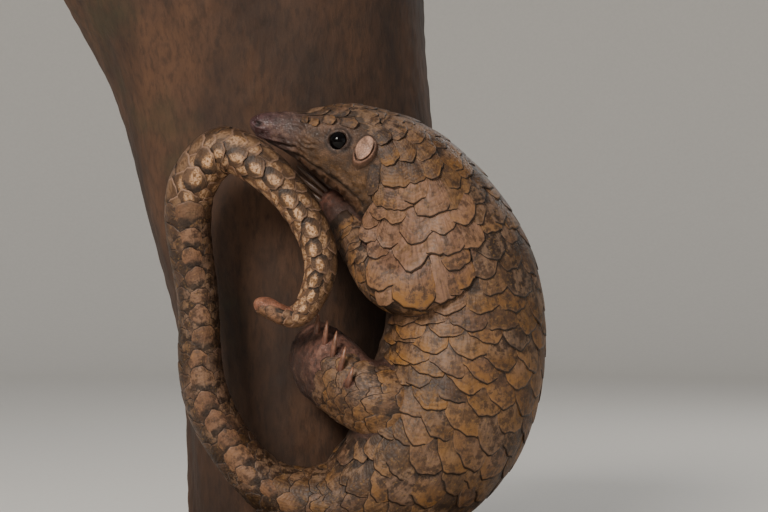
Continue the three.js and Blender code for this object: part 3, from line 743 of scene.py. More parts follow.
# %% Skin of the limbs and toes
LIMB_AROUND, TOE_AROUND, TOE_RINGS = 84, 16, 12
TOE_START, TOE_LENGTH = -6, 12.5  # from the claw's root, along it


def claw_paths(limb):
    """Root, middle and tip of each claw of a foot, and its radius."""
    root_a, root_b, tip_a, tip_b, bow = (np.array(v, float) for v in limb["claws"])
    kind = limb["toes"]
    paths = []
    for i, share in enumerate(kind["lengths"]):
        f = i / (len(kind["lengths"]) - 1)
        root = root_a + (root_b - root_a) * f
        tip = root + (tip_a + (tip_b - tip_a) * f - root) * share
        middle = (root + tip) / 2 + bow
        radius = kind["radius"]
        clearance = 0.5 + radius * (1 - np.arange(3) / 2.4)
        paths.append((off_bark(np.stack([root, middle, tip]), clearance), radius))
    return paths


def along_three(points, t):
    """Quadratic curve through three points at t = 0, 1/2 and 1."""
    a, b, c = points
    t = t[:, None]
    return a * (1 - t) * (1 - 2 * t) + b * 4 * t * (1 - t) + c * t * (2 * t - 1)


def cord(centres, radii, around, squash=1.0):
    """Closed tube of round rings on a row of centres, flattened across by "squash"."""
    along = unit(np.gradient(centres, axis=0))
    ref = unit(np.cross(along, np.array([0.31, -0.9, 0.2])))
    other = np.cross(along, ref)
    a = circle(around)[None, :, None]
    ring = ref[:, None] * np.cos(a) * squash + other[:, None] * np.sin(a)
    return closed_tube(centres[:, None] + ring * np.asarray(radii)[:, None, None])


def toe(path, radius):
    """A rounded tube that starts inside the foot and ends over the root of the claw."""
    way = unit(path[1] - path[0])
    t = np.linspace(0, 1, TOE_RINGS)
    centres = path[0] + way * (TOE_START + TOE_LENGTH * t)[:, None]
    return cord(centres, radius * np.sqrt(np.clip(1 - (2 * t - 1) ** 4, 0.002, 1)), TOE_AROUND)


def limb_skin(limb):
    """The limb's tube, with the skin sunk under its scales and loose folds on the foot."""
    tube = limb["tube"]
    end = tube.length - FOOT_ROUND * (1 - np.cos(np.linspace(np.pi / 2, 0.08, 12)))
    s = np.concatenate([np.arange(1, tube.length - FOOT_ROUND, 1.4), end])
    s, a = paired(s, circle(LIMB_AROUND))
    flat = tube.point(s, a)
    bare = smooth(s, 40, 80) * (limb_step(limb, s, a) < 0.1)
    height = -SINK * limb_step(limb, s, a) + bare * (0.4 * waves(flat, 9, 8) + 0.3 * waves(flat, 3.6, 9))
    return closed_tube(tube.point(s, a, height))


skin = new_piece("skin", *body_skin, None)
cutters = bpy.data.collections.new("joined_to_skin")
bpy.context.scene.collection.children.link(cutters)
parts = [(name, limb_skin(limb)) for name, limb in LIMBS.items()]
for name, limb in LIMBS.items():
    size = limb["toes"]["toe"]
    parts += [(f"{name}_toe_{i}", toe(path, size)) for i, (path, _) in enumerate(claw_paths(limb))]
for name, shape in parts:
    piece = new_piece(name, *shape, None)
    bpy.context.collection.objects.unlink(piece)
    cutters.objects.link(piece)
known = np.concatenate([body_skin[0]] + [shape[0] for _, shape in parts])
union = skin.modifiers.new("union", "BOOLEAN")
union.operation = "UNION"
union.operand_type = "COLLECTION"
union.collection = cutters
union.solver = "MANIFOLD"
joined_skin = skin.evaluated_get(bpy.context.evaluated_depsgraph_get())
skin.data = bpy.data.meshes.new_from_object(joined_skin)
skin.modifiers.clear()
for piece in list(cutters.objects):
    bpy.data.objects.remove(piece)
bpy.data.collections.remove(cutters)

# %% Soften the folds where the limbs join
JOIN_REACH = 11
JOIN_ROUNDS = 60


def read(items, key, width, kind=float):
    """One property of all points, edges or faces of a mesh, a row for each of them."""
    flat = np.empty(len(items) * width, kind)
    items.foreach_get(key, flat)
    return flat.reshape(-1, width)


def nearest(points, targets, block=2000):
    """Index of the nearest target for each point and its distance, worked out block by block."""
    index, distance = np.empty(len(points), int), np.empty(len(points))
    for i in range(0, len(points), block):
        gap = ((points[i : i + block, None] - targets[None]) ** 2).sum(-1)
        index[i : i + block] = gap.argmin(1)
        distance[i : i + block] = np.sqrt(gap.min(1))
    return index, distance


def relax(points, edges, weight, rounds):
    """Moves points towards the mean of their neighbours by a weight, some rounds over."""
    a, b = edges[:, 0], edges[:, 1]
    count = len(points)
    degree = np.bincount(np.concatenate([a, b]), minlength=count)[:, None]
    for _ in range(rounds):
        total = np.zeros_like(points)
        for k in range(3):
            total[:, k] = np.bincount(a, points[b, k], count) + np.bincount(b, points[a, k], count)
        points = points + weight[:, None] * (total / np.maximum(degree, 1) - points)
    return points


points = read(skin.data.vertices, "co", 3) / MM
keys = {tuple(v) for v in np.round(known, 2).tolist()}
fresh = np.array([tuple(v) not in keys for v in np.round(points, 2).tolist()])
to_join = nearest(points, points[fresh][::2])[1]
weight = 0.5 * fall(to_join, 2, JOIN_REACH)
relaxed = relax(points, read(skin.data.edges, "vertices", 2, int), weight, JOIN_ROUNDS)
skin.data.vertices.foreach_set("co", (relaxed * MM).ravel())
skin.data.update()
print("skin:", len(points), "points,", int(fresh.sum()), "on the joins")

# %% [markdown]
# ## Scales
# One scale is a thin shell. Its root is straight and narrow, its sides swell, and its free edge is
# a rounded front. The shell's own coordinates run across (-1 to 1) and from the root (0) to the
# edge (1), so growth lines follow rows and fine grooves follow columns, as on the real plate.
# Scales sit in rings along the tube, each ring turned by half a scale from the one before, and a
# scale reaches over the next two rings. Its height rises steadily from root to tip, and that alone
# puts every scale above the ones after it.

# %% The shell of one scale
ACROSS, ALONG = 15, 16
OVERLAP = 2.85  # length of a scale, in ring pitches
ROOT_WIDTH = 0.74
ROOT_LEVEL, TIP_LEVEL = -0.55, 0.6  # over the body's outline, in steps of the coat

across = np.linspace(-1, 1, ACROSS)[None, None, :]
down = (np.linspace(0, 1, ALONG) ** 0.85)[None, :, None]


def shell_faces():
    """Quads of the upper face, the under face and the rim of one scale."""
    i, j = paired(np.arange(ALONG - 1), np.arange(ACROSS - 1))
    a = (i * ACROSS + j).ravel()
    top = np.stack([a, a + 1, a + ACROSS + 1, a + ACROSS], -1)
    low = ALONG * ACROSS
    under = top[:, ::-1] + low
    first = np.arange(ACROSS)
    last = first + (ALONG - 1) * ACROSS
    left = np.arange(ALONG) * ACROSS
    right = left + ACROSS - 1
    loop = np.concatenate([first[:-1], right[:-1], last[:0:-1], left[:0:-1]])
    after = np.roll(loop, -1)
    rim = np.stack([after, loop, loop + low, after + low], -1)
    return np.concatenate([top, under, rim])


SHELL = shell_faces()
SHELL_POINTS = 2 * ALONG * ACROSS
PLAIN_SCALE = {"extra": 0, "way": 1, "pale": 0, "yaw": 0, "spot": 0}


class Coat:
    """Scales on one tube, as arrays with one entry for each scale."""

    def __init__(self, tube, rows, loose=1.0):
        self.tube = tube
        rows = [{**PLAIN_SCALE, **row} for row in rows]
        self.v = {key: np.array([row[key] for row in rows], float) for key in rows[0]}
        count = len(rows)
        for key, spread in (("size", 0.07), ("tall", 0.09)):
            self.v[key] = random.normal(1, spread * loose, count)
        for key, spread in (("yaw", 0.09), ("tone", 0.13), ("skew", 0.07)):
            self.v[key] = self.v.get(key, 0) + random.normal(0, spread * loose, count)
        self.v["wave"] = random.uniform(0, 2 * np.pi, count)
        self.v["cusp"] = random.uniform(0, 0.1, count)
        self.v["s"] += random.uniform(-0.04, 0.04, count) * loose * self.v["length"]
        self.v["angle"] += random.normal(0, 0.04, count) * loose * self.v["width"]

    def part(self, wanted):
        """A coat of some of the scales."""
        made = Coat.__new__(Coat)
        made.tube, made.v = self.tube, {k: value[wanted] for k, value in self.v.items()}
        return made

    def centres(self, share=0.6):
        """The middle of each scale on the tube's skin."""
        v = self.v
        return self.tube.point(v["s"] + v["way"] * v["length"] * share, v["angle"])

    def shells(self):
        """Points of every scale, upper face then under face, as (scale, point, xyz)."""
        v = self.v
        girth = self.tube.girth(v["s"] + v["way"] * v["length"] / 2, v["angle"])
        v = {k: value[:, None, None] for k, value in {**v, "girth": girth}.items()}
        side = np.abs(across)
        front = (1 - side ** v["blunt"]) ** 0.56
        worn = 0.032 * np.sin(5 * across + v["wave"]) + 0.02 * np.sin(13 * across + 2 * v["wave"])
        uneven = (worn + v["skew"] * across) * (1 - side**6)
        edge = 0.5 + 0.5 * front + v["cusp"] * bell(across, 0, 0.3) + uneven
        w = down * edge * v["length"] * v["size"]
        u = ((1 - down) * ROOT_WIDTH * across + down * np.sin(across * np.pi / 2)) * v["size"]
        u = u * v["width"] * v["girth"]
        share = np.clip(w / v["length"], 0, 1.1)
        rising = (TIP_LEVEL - ROOT_LEVEL) * v["step"] + v["extra"] + 0.25
        lifted = ROOT_LEVEL * v["step"] - 0.25 + rising * v["tall"] * share**0.9
        crown = 0.16 * v["step"] * (1 - across**2) * down
        keel = v["keel"] * (1 - side) ** 1.4 * smooth(down, 0.05, 0.7)
        bevel = 0.2 * smooth(down, 0.86, 1) ** 2 + 0.1 * smooth(side, 0.8, 1) * down
        rings = 0.03 * v["step"] * np.sin(2 * np.pi * down * 8 + v["wave"])
        top = lifted + crown + keel - bevel + rings
        thick = (0.45 + 0.15 * v["step"] * (1 - down**2)) * (1 - 0.4 * across**4)
        cosine, sine = np.cos(v["yaw"]), np.sin(v["yaw"])
        s = np.clip(v["s"] + v["way"] * (w * cosine - u * sine), 0.5, self.tube.length - 0.3)
        angle = v["angle"] + (u * cosine + w * sine) / v["girth"]
        upper = self.tube.point(s, angle, top)
        under = self.tube.point(s, angle, top - thick)
        count = len(self.v["s"])
        return np.concatenate([upper.reshape(count, -1, 3), under.reshape(count, -1, 3)], axis=1)


# %% A piece of coat from many shells
def bake_cells(count):
    """A square cell of the unit square for each scale, in order: the upper face fills most of it."""
    side = math.ceil(math.sqrt(count))
    u = (across + 1) / 2 * 0.9 + 0.05
    upper, under = together(u, down * 0.78 + 0.16), together(u, down * 0.1 + 0.03)
    one = np.stack([upper, under]).reshape(-1, 2)
    index = np.arange(count)
    corner = together(index % side, index // side)
    return (one[None] + corner[:, None]) / side


def coat_piece(name, coat, material):
    """One mesh from all the scales of a coat, with its pattern and bake maps and its tones."""
    shells = coat.shells()
    count = len(shells)
    corners = (shells - shells.mean(1, keepdims=True))[:, SHELL]
    crossed = np.cross(corners[:, :, 1] - corners[:, :, 3], corners[:, :, 2] - corners[:, :, 0])
    inside_out = (corners.mean(2) * crossed).sum((1, 2)) < 0
    shell = np.where(inside_out[:, None, None], SHELL[None, :, ::-1], SHELL[None])
    faces = (shell + (np.arange(count) * SHELL_POINTS)[:, None, None]).reshape(-1, 4)
    piece = new_piece(name, shells.reshape(-1, 3), faces, material)
    mesh = piece.data
    corner = faces.ravel()
    own = together((across + 1) / 2, down).reshape(-1, 2)
    # the under face has v = 0 everywhere, so it takes the painted shade of a scale's covered root
    own = np.tile(np.concatenate([own, own * np.array([1, 0])]), (count, 1))
    mesh.uv_layers.new(name="plate").data.foreach_set("uv", own[corner].ravel())
    cells = bake_cells(count).reshape(-1, 2)
    mesh.uv_layers.new(name="OFBake").data.foreach_set("uv", cells[corner].ravel())
    tones = np.stack([coat.v[k].clip(0, 1) for k in ("tone", "pale", "amber", "rose")], -1)
    colour_points(piece, "tone", np.repeat(tones, SHELL_POINTS, 0))
    spots = mesh.attributes.new("spot", "FLOAT", "POINT")
    spots.data.foreach_set("value", np.repeat(coat.v["spot"].clip(0, 1), SHELL_POINTS))
    print(name, count, "scales,", len(faces) * 2, "triangles")
    return piece


# %% [markdown]
# ## Horn, skin, claw and eye
# Keratin in thick plates is brown with depth to it: dark where it is thick or fresh, amber and a
# little see-through at the worn edges, and dull with fine grooves that run from the root. Old
# scales are bleached pinkish grey. The bare skin is matt, finely cracked leather.

# %% Scale keratin
def scale_keratin(name, covered, at_sides):
    """Worn plates of keratin: grooves along, growth lines across, amber tips, dull satin gloss.

    Painted shade darkens a scale where the ones before it cover it and in a narrow band just past
    their free edges: as far as "covered" in its middle, and further by "at_sides" at its sides, as
    shares of its length.
    """
    horn = Finish(name)
    times, rise, sums, add_product = horn.times, horn.rise, horn.sums, horn.add_product
    own = horn.add("SeparateXYZ", {0: horn.add("UVMap", uv_map="plate")["UV"]})
    u, v = own["X"], own["Y"]
    marks = horn.add("Attribute", attribute_name="tone")
    tones = horn.add("SeparateColor", {0: marks["Color"]})
    chance, pale, amber, rose = tones["Red"], tones["Green"], tones["Blue"], marks["Alpha"]
    spotted = horn.add("Attribute", attribute_name="spot")["Fac"]

    # Grooves about 1 mm apart run the length of a scale some 20 mm wide.
    lane = horn.add("CombineXYZ", {"X": times(u, 20.0), "Y": times(v, 2.2), "Z": times(chance, 60.0)})[0]
    groove = horn.grain(1.0, vector=lane, measure=1)
    blotch = horn.grain(5.0, detail=6, rough=0.66)
    patch = horn.grain(26.0)
    speck = horn.grain(1.6, rough=0.6)
    # Growth lines follow the free edge, about ten to a scale, broken up by the blotches.
    growth = sums("SINE", add_product(v, 62.0, times(blotch, 9.0)))
    side = sums("ABSOLUTE", sums("SUBTRACT", u, 0.5))

    # On the curl of the tail each scale is dark with one pale spot near its free edge.
    aside = horn.add("CombineXYZ", {"X": times(side, 1.5), "Y": sums("SUBTRACT", v, 0.72)})[0]
    from_spot = horn.add("VectorMath", {0: aside}, operation="LENGTH")["Value"]
    ragged = add_product(sums("ADD", speck, blotch), 0.45, from_spot)
    spot = times(rise(ragged, 0.63, 0.74, 1.0, 0.0), rise(speck, 0.36, 0.48, 0.4, 1.0), spotted)
    spot_colour = horn.blend(rise(speck, 0.4, 0.56), "#90663a", "#c49c78")

    rim = sums("MAXIMUM", rise(v, 0.91, 1.0), rise(side, 0.44, 0.5))
    # painted shade: a thin dark line along the free edge and the sides, where each edge's shadow falls
    edge_shadow_line = sums("MAXIMUM", rise(v, 0.96, 0.985), rise(side, 0.466, 0.486))
    middle = sums("POWER", add_product(side, -2.0, 1.0), 3.0)
    edge = add_product(middle, -at_sides, covered + at_sides)
    # how far a point lies past the covering scales' edges, a little ragged: the painted shade follows it
    bared = add_product(sums("SUBTRACT", blotch, 0.5), 0.12, sums("SUBTRACT", v, edge))

    base = add_product(blotch, 0.85, add_product(chance, 0.62, -0.25))
    colour = horn.layers(
        horn.ramp(base, (0.26, "#2c1b0d"), (0.42, "#432c18"), (0.57, "#5f4327"), (0.78, "#80614a")),
        (times(rise(patch, 0.46, 0.58), rise(blotch, 0.43, 0.55, 0.0, 0.7)), "#755c48"),
        (times(rose, rise(blotch, 0.4, 0.56, 0.25, 0.85)), "#876350"),
        (rise(groove, 0.42, 0.68, 0.0, 0.42), "#1f130a"),
        (rise(speck, 0.55, 0.7, 0.0, 0.35), "#93703f"),
        (rise(speck, 0.3, 0.42, 0.35, 0.0), "#1f130a"),
        (times(rise(v, 0.45, 1.0), amber, rise(blotch, 0.42, 0.56, 0.15, 0.85)), "#83571b"),
        (times(pale, rise(blotch, 0.36, 0.58, 0.25, 0.95), rise(v, 0.35, 0.62)), "#94694c"),
        (rise(spotted, 0.0, 0.2, 0.0, 0.6), "#4c341e"),
        (spot, spot_colour),
        (times(rim, rise(spotted, 0.0, 0.2, 0.14, 0.6)), "#a1806a"),
        # painted shade along the free edge and sides, left off the spotted curl
        (times(edge_shadow_line, rise(spotted, 0.0, 0.2, 0.9, 0.0)), "#160d07"),
        # painted shade over the covered part and in a band just past the covering scales' edges
        (rise(bared, -0.03, 0.1, 0.75, 0.0), "#1d1108"),
    )
    horn.shade({"Base Color": colour, "Roughness": rise(speck, 0.3, 0.75, 0.46, 0.66)})
    horn.shade({"IOR": 1.54, "Specular IOR Level": 0.36})
    height = add_product(groove, 0.9, times(growth, 0.1))
    height = add_product(speck, 0.4, add_product(blotch, 0.8, height))
    return horn.relief(height, 0.42, 0.95)


# %% Bare skin
def bare_skin():
    """Pangolin leather, cracked into fine grains, in the "hide" colours; its alpha tells how wet it is."""
    leather = Finish("bare_skin")
    rise, blend = leather.rise, leather.blend
    marks = leather.add("Attribute", attribute_name="hide")
    hide, wet = marks["Color"], marks["Alpha"]
    blotch = leather.grain(6.0, detail=5, rough=0.62)
    grains = {"Vector": leather.place, "Scale": 1 / (1.3 * MM), "Randomness": 1.0}
    cells = leather.add("TexVoronoi", grains, feature="DISTANCE_TO_EDGE")["Distance"]
    crack = rise(cells, 0.0, 0.16)
    fine = leather.grain(2.2, detail=4, rough=0.65)
    colour = leather.layers(
        hide,
        (rise(blotch, 0.36, 0.56, 0.75, 0.0), blend(0.7, hide, "#1c110b")),
        (rise(fine, 0.36, 0.56, 0.45, 0.0), blend(0.6, hide, "#1c110b")),
        (rise(blotch, 0.54, 0.72, 0.0, 0.4), blend(0.45, hide, "#c39a7c")),
        (rise(crack, 0.0, 1.0, 0.3, 0.0), "#241712"),
    )
    roughness = leather.add_product(wet, -0.4, rise(blotch, 0.3, 0.7, 0.52, 0.7))
    leather.shade({"Base Color": colour, "Roughness": roughness})
    height = leather.add_product(crack, 0.5, leather.add_product(fine, 0.9, blotch))
    return leather.relief(height, 0.4, 0.9)


# %% Claw horn and eye
def claw_horn():
    """Horn in the claws' own colours, darker in streaks and polished by use."""
    horn = Finish("claw_horn")
    streak = horn.grain(2.5, detail=4)
    tint = horn.add("Attribute", attribute_name="horn")["Color"]
    colour = horn.blend(horn.rise(streak, 0.35, 0.65, 0.6, 0.0), tint, "#3a2519")
    horn.shade({"Base Color": colour, "Roughness": 0.4, "IOR": 1.54})
    return horn.relief(streak, 0.15, 0.6)


def wet_eye():
    """A nearly black iris under a wet cornea: all that shows is the sharp highlight."""
    looks = {"Base Color": "#050303", "Roughness": 0.04, "IOR": 1.34, "Specular IOR Level": 0.3}
    return Finish("wet_eye").shade(looks)


KERATIN = scale_keratin("scale_keratin", covered=0.33, at_sides=0.24)
HANGING_KERATIN = scale_keratin("hanging_scale_keratin", covered=0.1, at_sides=0)
SKIN = bare_skin()
HORN = claw_horn()
WET_EYE = wet_eye()
skin.data.materials.clear()
skin.data.materials.append(SKIN)
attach(skin, "root")
flesh = [n for n in frame["nodes"] if not n.startswith(("eye_", "ear_", "stand_", "perch_"))]
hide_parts(*flesh)

# %% [markdown]
# ## Colours of the hide
# The muzzle is a moist greyish pink, the cheek amber brown with painted shade in the fold under the jaw,
# the throat reddish, the feet pinkish brown with dark mottles, the belly a dark brown that is partly
# painted shade, and the pad under the tip of the tail orange pink. Painted shade also darkens the
# nostrils and the creases round the eyes. Under the scales the skin is dark. A point's colour follows
# from its place.

# %% Tint the skin
points = read(skin.data.vertices, "co", 3) / MM
samples = np.linspace(0, BODY.length, 400)
line = BODY.section(samples)[0]
limb_near = np.stack([limb["tube"].outside(points) for limb in LIMBS.values()]).min(0)

place_s = samples[nearest(points, line)[0]]
centre, _, back, left, half = BODY.section(place_s)
to_back = ((points - centre) * back).sum(-1)
to_side = ((points - centre) * left).sum(-1)
off = np.degrees(np.arctan2(np.abs(to_side), to_back))
hide = np.tile(linear("#22170f")[:3], (len(points), 1))
wet = np.zeros(len(points))


def paint(amount, code, damp=0.0):
    """Lays a colour over the hide by an amount from 0 to 1 at each point, and dampens it."""
    global hide, wet
    amount = np.clip(amount, 0, 1)
    wet = wet * (1 - amount) + damp * amount
    hide = hide * (1 - amount[:, None]) + np.array(linear(code)[:3]) * amount[:, None]


on_limb = fall(limb_near, 0.5, 5)
off_limb = 1 - on_limb
# The lower belly is a dark brown: partly its own colour, partly painted shade where it turns from the light.
bare_belly = smooth(-to_back / half[:, 1].clip(1), 0.55, 0.85) * (place_s > 100) * (place_s < 325)
paint(bare_belly, "#4a3423")
mottle = 0.5 + 0.5 * waves(points, 11, 31)
paint(fall(place_s, 84, 100) * off_limb, "#4c3523")
lower_cheek = fall(place_s, 84, 98) * smooth(off, 78, 118) * off_limb
paint(lower_cheek * (0.45 + 0.5 * mottle), "#5e4020")
paint(fall(place_s, 22, 44) * off_limb, "#503932", 0.3)
paint(fall(place_s, 10, 24) * off_limb * 0.9, "#523838", 0.7)
paint(fall(place_s, 1, 8) * off_limb * 0.7, "#51353a", 1.0)
jaw = smooth(place_s, 26, 38) * fall(place_s, 84, 96) * off_limb
paint(jaw * smooth(off, 147, 157) * (0.4 + 0.4 * mottle), "#5d3a22", 0.4)
# painted shade in the groove under the jaw
paint(jaw * bell(off, 145, 4.5), "#160d09")
paint(0.6 * bell(place_s, 50, 10) * bell(off, 66, 7) * off_limb, "#866552", 0.3)
for frame in EYE_FRAMES.values():
    away = from_eye(points, frame, 0.4)
    paint(0.45 * fall(away, 9, 15), "#5d4435")
    # painted shade in the crease around the lid
    paint(bell(away, 7.6, 1.1) * 0.8, "#1c120d")
    paint(bell(away, 5.9, 0.8) * 0.7, "#3a2a24", 1.0)
    # painted shade in the gap where the lid meets the eyeball, kept wet
    paint(fall(away, 4.4, 5.7), "#120b09", 1.0)
# painted shade in the hollow of each nostril
for origin, *_ in NOSE_FRAMES.values():
    paint(fall(norm(points - origin), 1.0, 2.8), "#120a09")
for origin, *_ in EAR_FRAMES.values():
    paint(0.55 * fall(norm(points - origin), 9, 14), "#402b1c")
paint(on_limb, "#452a1f")
for limb in LIMBS.values():
    toes = np.concatenate([path for path, _ in claw_paths(limb)])
    paint(0.9 * fall(nearest(points, toes)[1], 6, 22), limb["toes"]["foot"], 0.4)
paint(0.75 * on_limb * smooth(waves(points, 4.5, 33), 0.05, 0.6), "#3b231a", 0.2)
pad = smooth(place_s, 736, 744) * smooth(off, 75, 100) + smooth(place_s, 750, 754)
paint(pad * off_limb, "#98634a", 0.4)
colour_points(skin, "hide", np.concatenate([hide, wet[:, None]], 1))

# %% Scales of the shoulder
# The fold of skin from the chest to the elbow hangs over the foreleg, and large flat scales hang down
# it like an apron. They lie on a sheet draped over the body and the foreleg, seen from the left: its
# two coordinates are the distance from a point over the shoulder and the angle from straight down.
# Behind the ear and over the brow the scales are few and unlike, so they have a table and a sheet too.
# tip's x and z, width, length (mm), way (degrees from down to the rear), bluntness, amber, tone, lift (mm)
APRON = [
    (70.8, 251.3, 17, 26, 0, 2.2, 0.3, 0.5, 0), (54.3, 246.1, 12, 18, 0, 2.2, 0.9, 0.5, 0.3),
    (62.1, 246, 15, 20, 0, 2.4, 0.2, 0.7, 0), (83.4, 242.2, 21, 28, 0, 2.2, 0.2, 0.55, 0.3),
    (100.8, 238.5, 19, 25, 0, 2.2, 0.5, 0.4, 0), (57.4, 237.6, 14, 21, 0, 2.4, 0.4, 0.6, 0),
    (72, 226.9, 20, 29, 0, 2.1, 0.1, 0.65, 0.3), (86.5, 232.9, 18, 24, 0, 2.4, 0.3, 0.6, 0),
    (42.4, 235.3, 10, 15, 0, 2.2, 0.2, 0.5, 0), (47.5, 241, 11, 16, 0, 2.2, 0.3, 0.5, 0),
    (40.7, 226.9, 12, 17, 0, 2.2, 0.3, 0.5, 0), (53.8, 223.4, 14, 23, 0, 2.1, 0.2, 0.5, 0.2),
    (68.1, 210, 22, 33, 0, 1.2, 0.05, 0.75, 0.6), (82.9, 218.6, 18, 27, 0, 2.5, 0.2, 0.6, 0),
    (94, 219.5, 20, 29, 0, 2.1, 0.2, 0.55, 0.2), (106.1, 223.4, 17, 25, 0, 2.2, 0.4, 0.5, 0),
    (47.2, 216.2, 14, 21, 0, 2.2, 0.2, 0.5, 0), (50.2, 198.6, 20, 33, 0, 2.6, 0.5, 0.6, 0.2),
    (69.1, 183.8, 26, 43, 0, 1.7, 1.0, 0.5, 1.3), (86.5, 189.7, 20, 39, 0, 2.4, 0.1, 0.75, 0),
    (97.6, 209.7, 18, 27, 0, 2.3, 0.6, 0.5, 0), (101, 200, 16, 25, 0, 2.3, 0.8, 0.5, 0),
    (94, 194.5, 15, 25, 0, 2.3, 0.5, 0.5, 0), (54, 188.8, 14, 24, 0, 2.3, 0.3, 0.5, 0),
]
CHEEK = [
    (6.5, 300.5, 4.6, 5.5, 80, 1.8, 0.3, 0.3, 0), (12.5, 298.1, 5.2, 6.5, 70, 1.8, 0.5, 0.35, 0),
    (22.7, 299.3, 6.2, 8.5, 75, 1.8, 0.6, 0.35, 0), (36.4, 297.5, 6.4, 11, 78, 1.7, 0.3, 0.25, 0),
    (55, 286.8, 11, 15, 50, 2.2, 0.1, 0.4, 0.4), (65.2, 291, 12, 16, 60, 2.2, 0.3, 0.5, 0.2),
    (76, 289, 13, 17, 55, 2.2, 0.3, 0.4, 0), (58, 273.6, 13.5, 17, 30, 2.3, 0.8, 0.5, 0.3),
    (67.5, 275, 15, 20, 30, 2.2, 0.3, 0.4, 0.1), (80, 277.5, 14, 19, 40, 2.2, 0.3, 0.4, 0),
    (59.8, 258.4, 19, 23, 3, 2.1, 0.4, 0.5, 0.5), (72, 262.5, 15, 20, 12, 2.2, 0.3, 0.5, 0),
    (82.5, 265.5, 16, 22, 25, 2.2, 0.6, 0.45, 0.1), (44.2, 254.8, 8, 19, -8, 1.9, 0.1, 0, 0.2),
    (49.6, 248.5, 10, 14, 0, 2.2, 0.4, 0.4, 0),
]
CELL = 1.5  # side of a sheet's cell, mm
HANG, SMOOTHING = 3, 9  # cells that a sheet hangs down, rounds that smooth it


class Sheet:
    """The front of some tubes as a height over the x, z plane. It hangs a little below them."""

    def __init__(self, centre, tubes, low, high):
        self.centre, self.length = centre, 3000
        self.low = np.array(low, float)
        shape = tuple(((np.array(high) - self.low) / CELL).astype(int))
        front = np.full(shape, np.inf)
        for tube, start, end in tubes:
            around = np.radians(np.arange(0, 360, 0.8))
            s, a = paired(np.arange(start, end, 0.5), around)
            found = tube.point(s, a).reshape(-1, 3)
            cell = ((found[:, [0, 2]] - self.low) / CELL).astype(int)
            inside = ((cell >= 0) & (cell < shape)).all(1)
            np.minimum.at(front, tuple(cell[inside].T), found[inside, 1])
        front[np.isinf(front)] = front[~np.isinf(front)].max()
        front = np.minimum.reduce([front] + [np.roll(front, k, axis) for axis in (0, 1) for k in (-1, 1)])
        for _ in range(HANG):
            front = np.minimum(front, np.roll(front, -1, 1))
        for _ in range(SMOOTHING):
            for axis in (0, 1):
                front = (front + np.roll(front, 1, axis) + np.roll(front, -1, axis)) / 3
        self.front = front

    def height(self, x, z):
        """Bilinear value of the grid."""
        u = np.clip((x - self.low[0]) / CELL - 0.5, 0, self.front.shape[0] - 2.001)
        w = np.clip((z - self.low[1]) / CELL - 0.5, 0, self.front.shape[1] - 2.001)
        i, j = u.astype(int), w.astype(int)
        p, q = u - i, w - j
        near = self.front[i, j] * (1 - p) + self.front[i + 1, j] * p
        far = self.front[i, j + 1] * (1 - p) + self.front[i + 1, j + 1] * p
        return near * (1 - q) + far * q

    def girth(self, s, angle):
        """An arc of one radian is as long as its radius."""
        return s + 0 * angle

    def point(self, s, angle, lift=0.0):
        """A place on the sheet, lifted along the normal (dy/dx, -1, dy/dz)."""
        s, angle, lift = np.broadcast_arrays(np.asarray(s, float), angle, lift)
        x = self.centre[0] + s * np.sin(angle)
        z = self.centre[1] - s * np.cos(angle)
        slope_x = (self.height(x + 1, z) - self.height(x - 1, z)) / 2
        slope_z = (self.height(x, z + 1) - self.height(x, z - 1)) / 2
        out = unit(together(slope_x, -1.0, slope_z))
        return together(x, self.height(x, z), z) + out * lift[..., None]


def hanging_rows(sheet, table, step, rose):
    """One row for each scale of a table: its root lies one length before its tip, turned by its way."""
    rows = []
    for x, z, width, length, way, blunt, amber, tone, extra in table:
        aside, below = x - sheet.centre[0], sheet.centre[1] - z
        radius, turn = math.hypot(aside, below), math.radians(way)
        s = radius - length * math.cos(turn)
        row = {"s": s, "angle": math.atan2(aside, below) - length * math.sin(turn) / radius}
        row |= {"length": length, "width": width / 2 / (s + length / 2), "yaw": turn, "blunt": blunt}
        row |= {"step": step, "extra": extra, "keel": 0.9, "amber": amber, "rose": rose}
        rows.append(row | {"tone": tone + 0.25 * math.sin(5 * x + 3 * z)})
    return rows


LEG = LIMBS["foreleg_left"]["tube"]
APRON_SHEET = Sheet((68.7, 308), [(BODY, 80, 230), (LEG, 0, 118)], low=(10, 150), high=(140, 300))
CHEEK_SHEET = Sheet((50, 1300), [(BODY, 15, 130)], low=(-20, 235), high=(120, 330))
# sheet, table, relief step, share of rose colour
SHEETS = {"apron": (APRON_SHEET, APRON, 1.0, 0.75), "cheek": (CHEEK_SHEET, CHEEK, 0.7, 0.15)}
hanging = []
for name, (sheet, table, step, rose) in SHEETS.items():
    coat = Coat(sheet, hanging_rows(sheet, table, step, rose), loose=0.3)
    hanging += [coat.centres(share) for share in (0.5, 0.8)]
    piece = coat_piece(f"scales_{name}", coat, HANGING_KERATIN)
    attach(piece, "root")
HANGING = np.concatenate(hanging)
NEAR_SIDE, CLEARANCE = -96, 7.5


def off_tables(centres):
    """Which scales are on the far side, or lie clear of the middles of the tables' scales."""
    gap = centres[:, None, [0, 2]] - HANGING[None][..., [0, 2]]
    return (centres[:, 1] > NEAR_SIDE) | (norm(gap).min(1) > CLEARANCE)


# %% Scales of the body
# how far along each count goes (mm), scales in a ring
RING_COUNTS = [(66, 18), (112, 16), (330, 14), (392, 8), (math.inf, 6)]
COAT_START, COAT_END = 27.0, BODY.length - 11


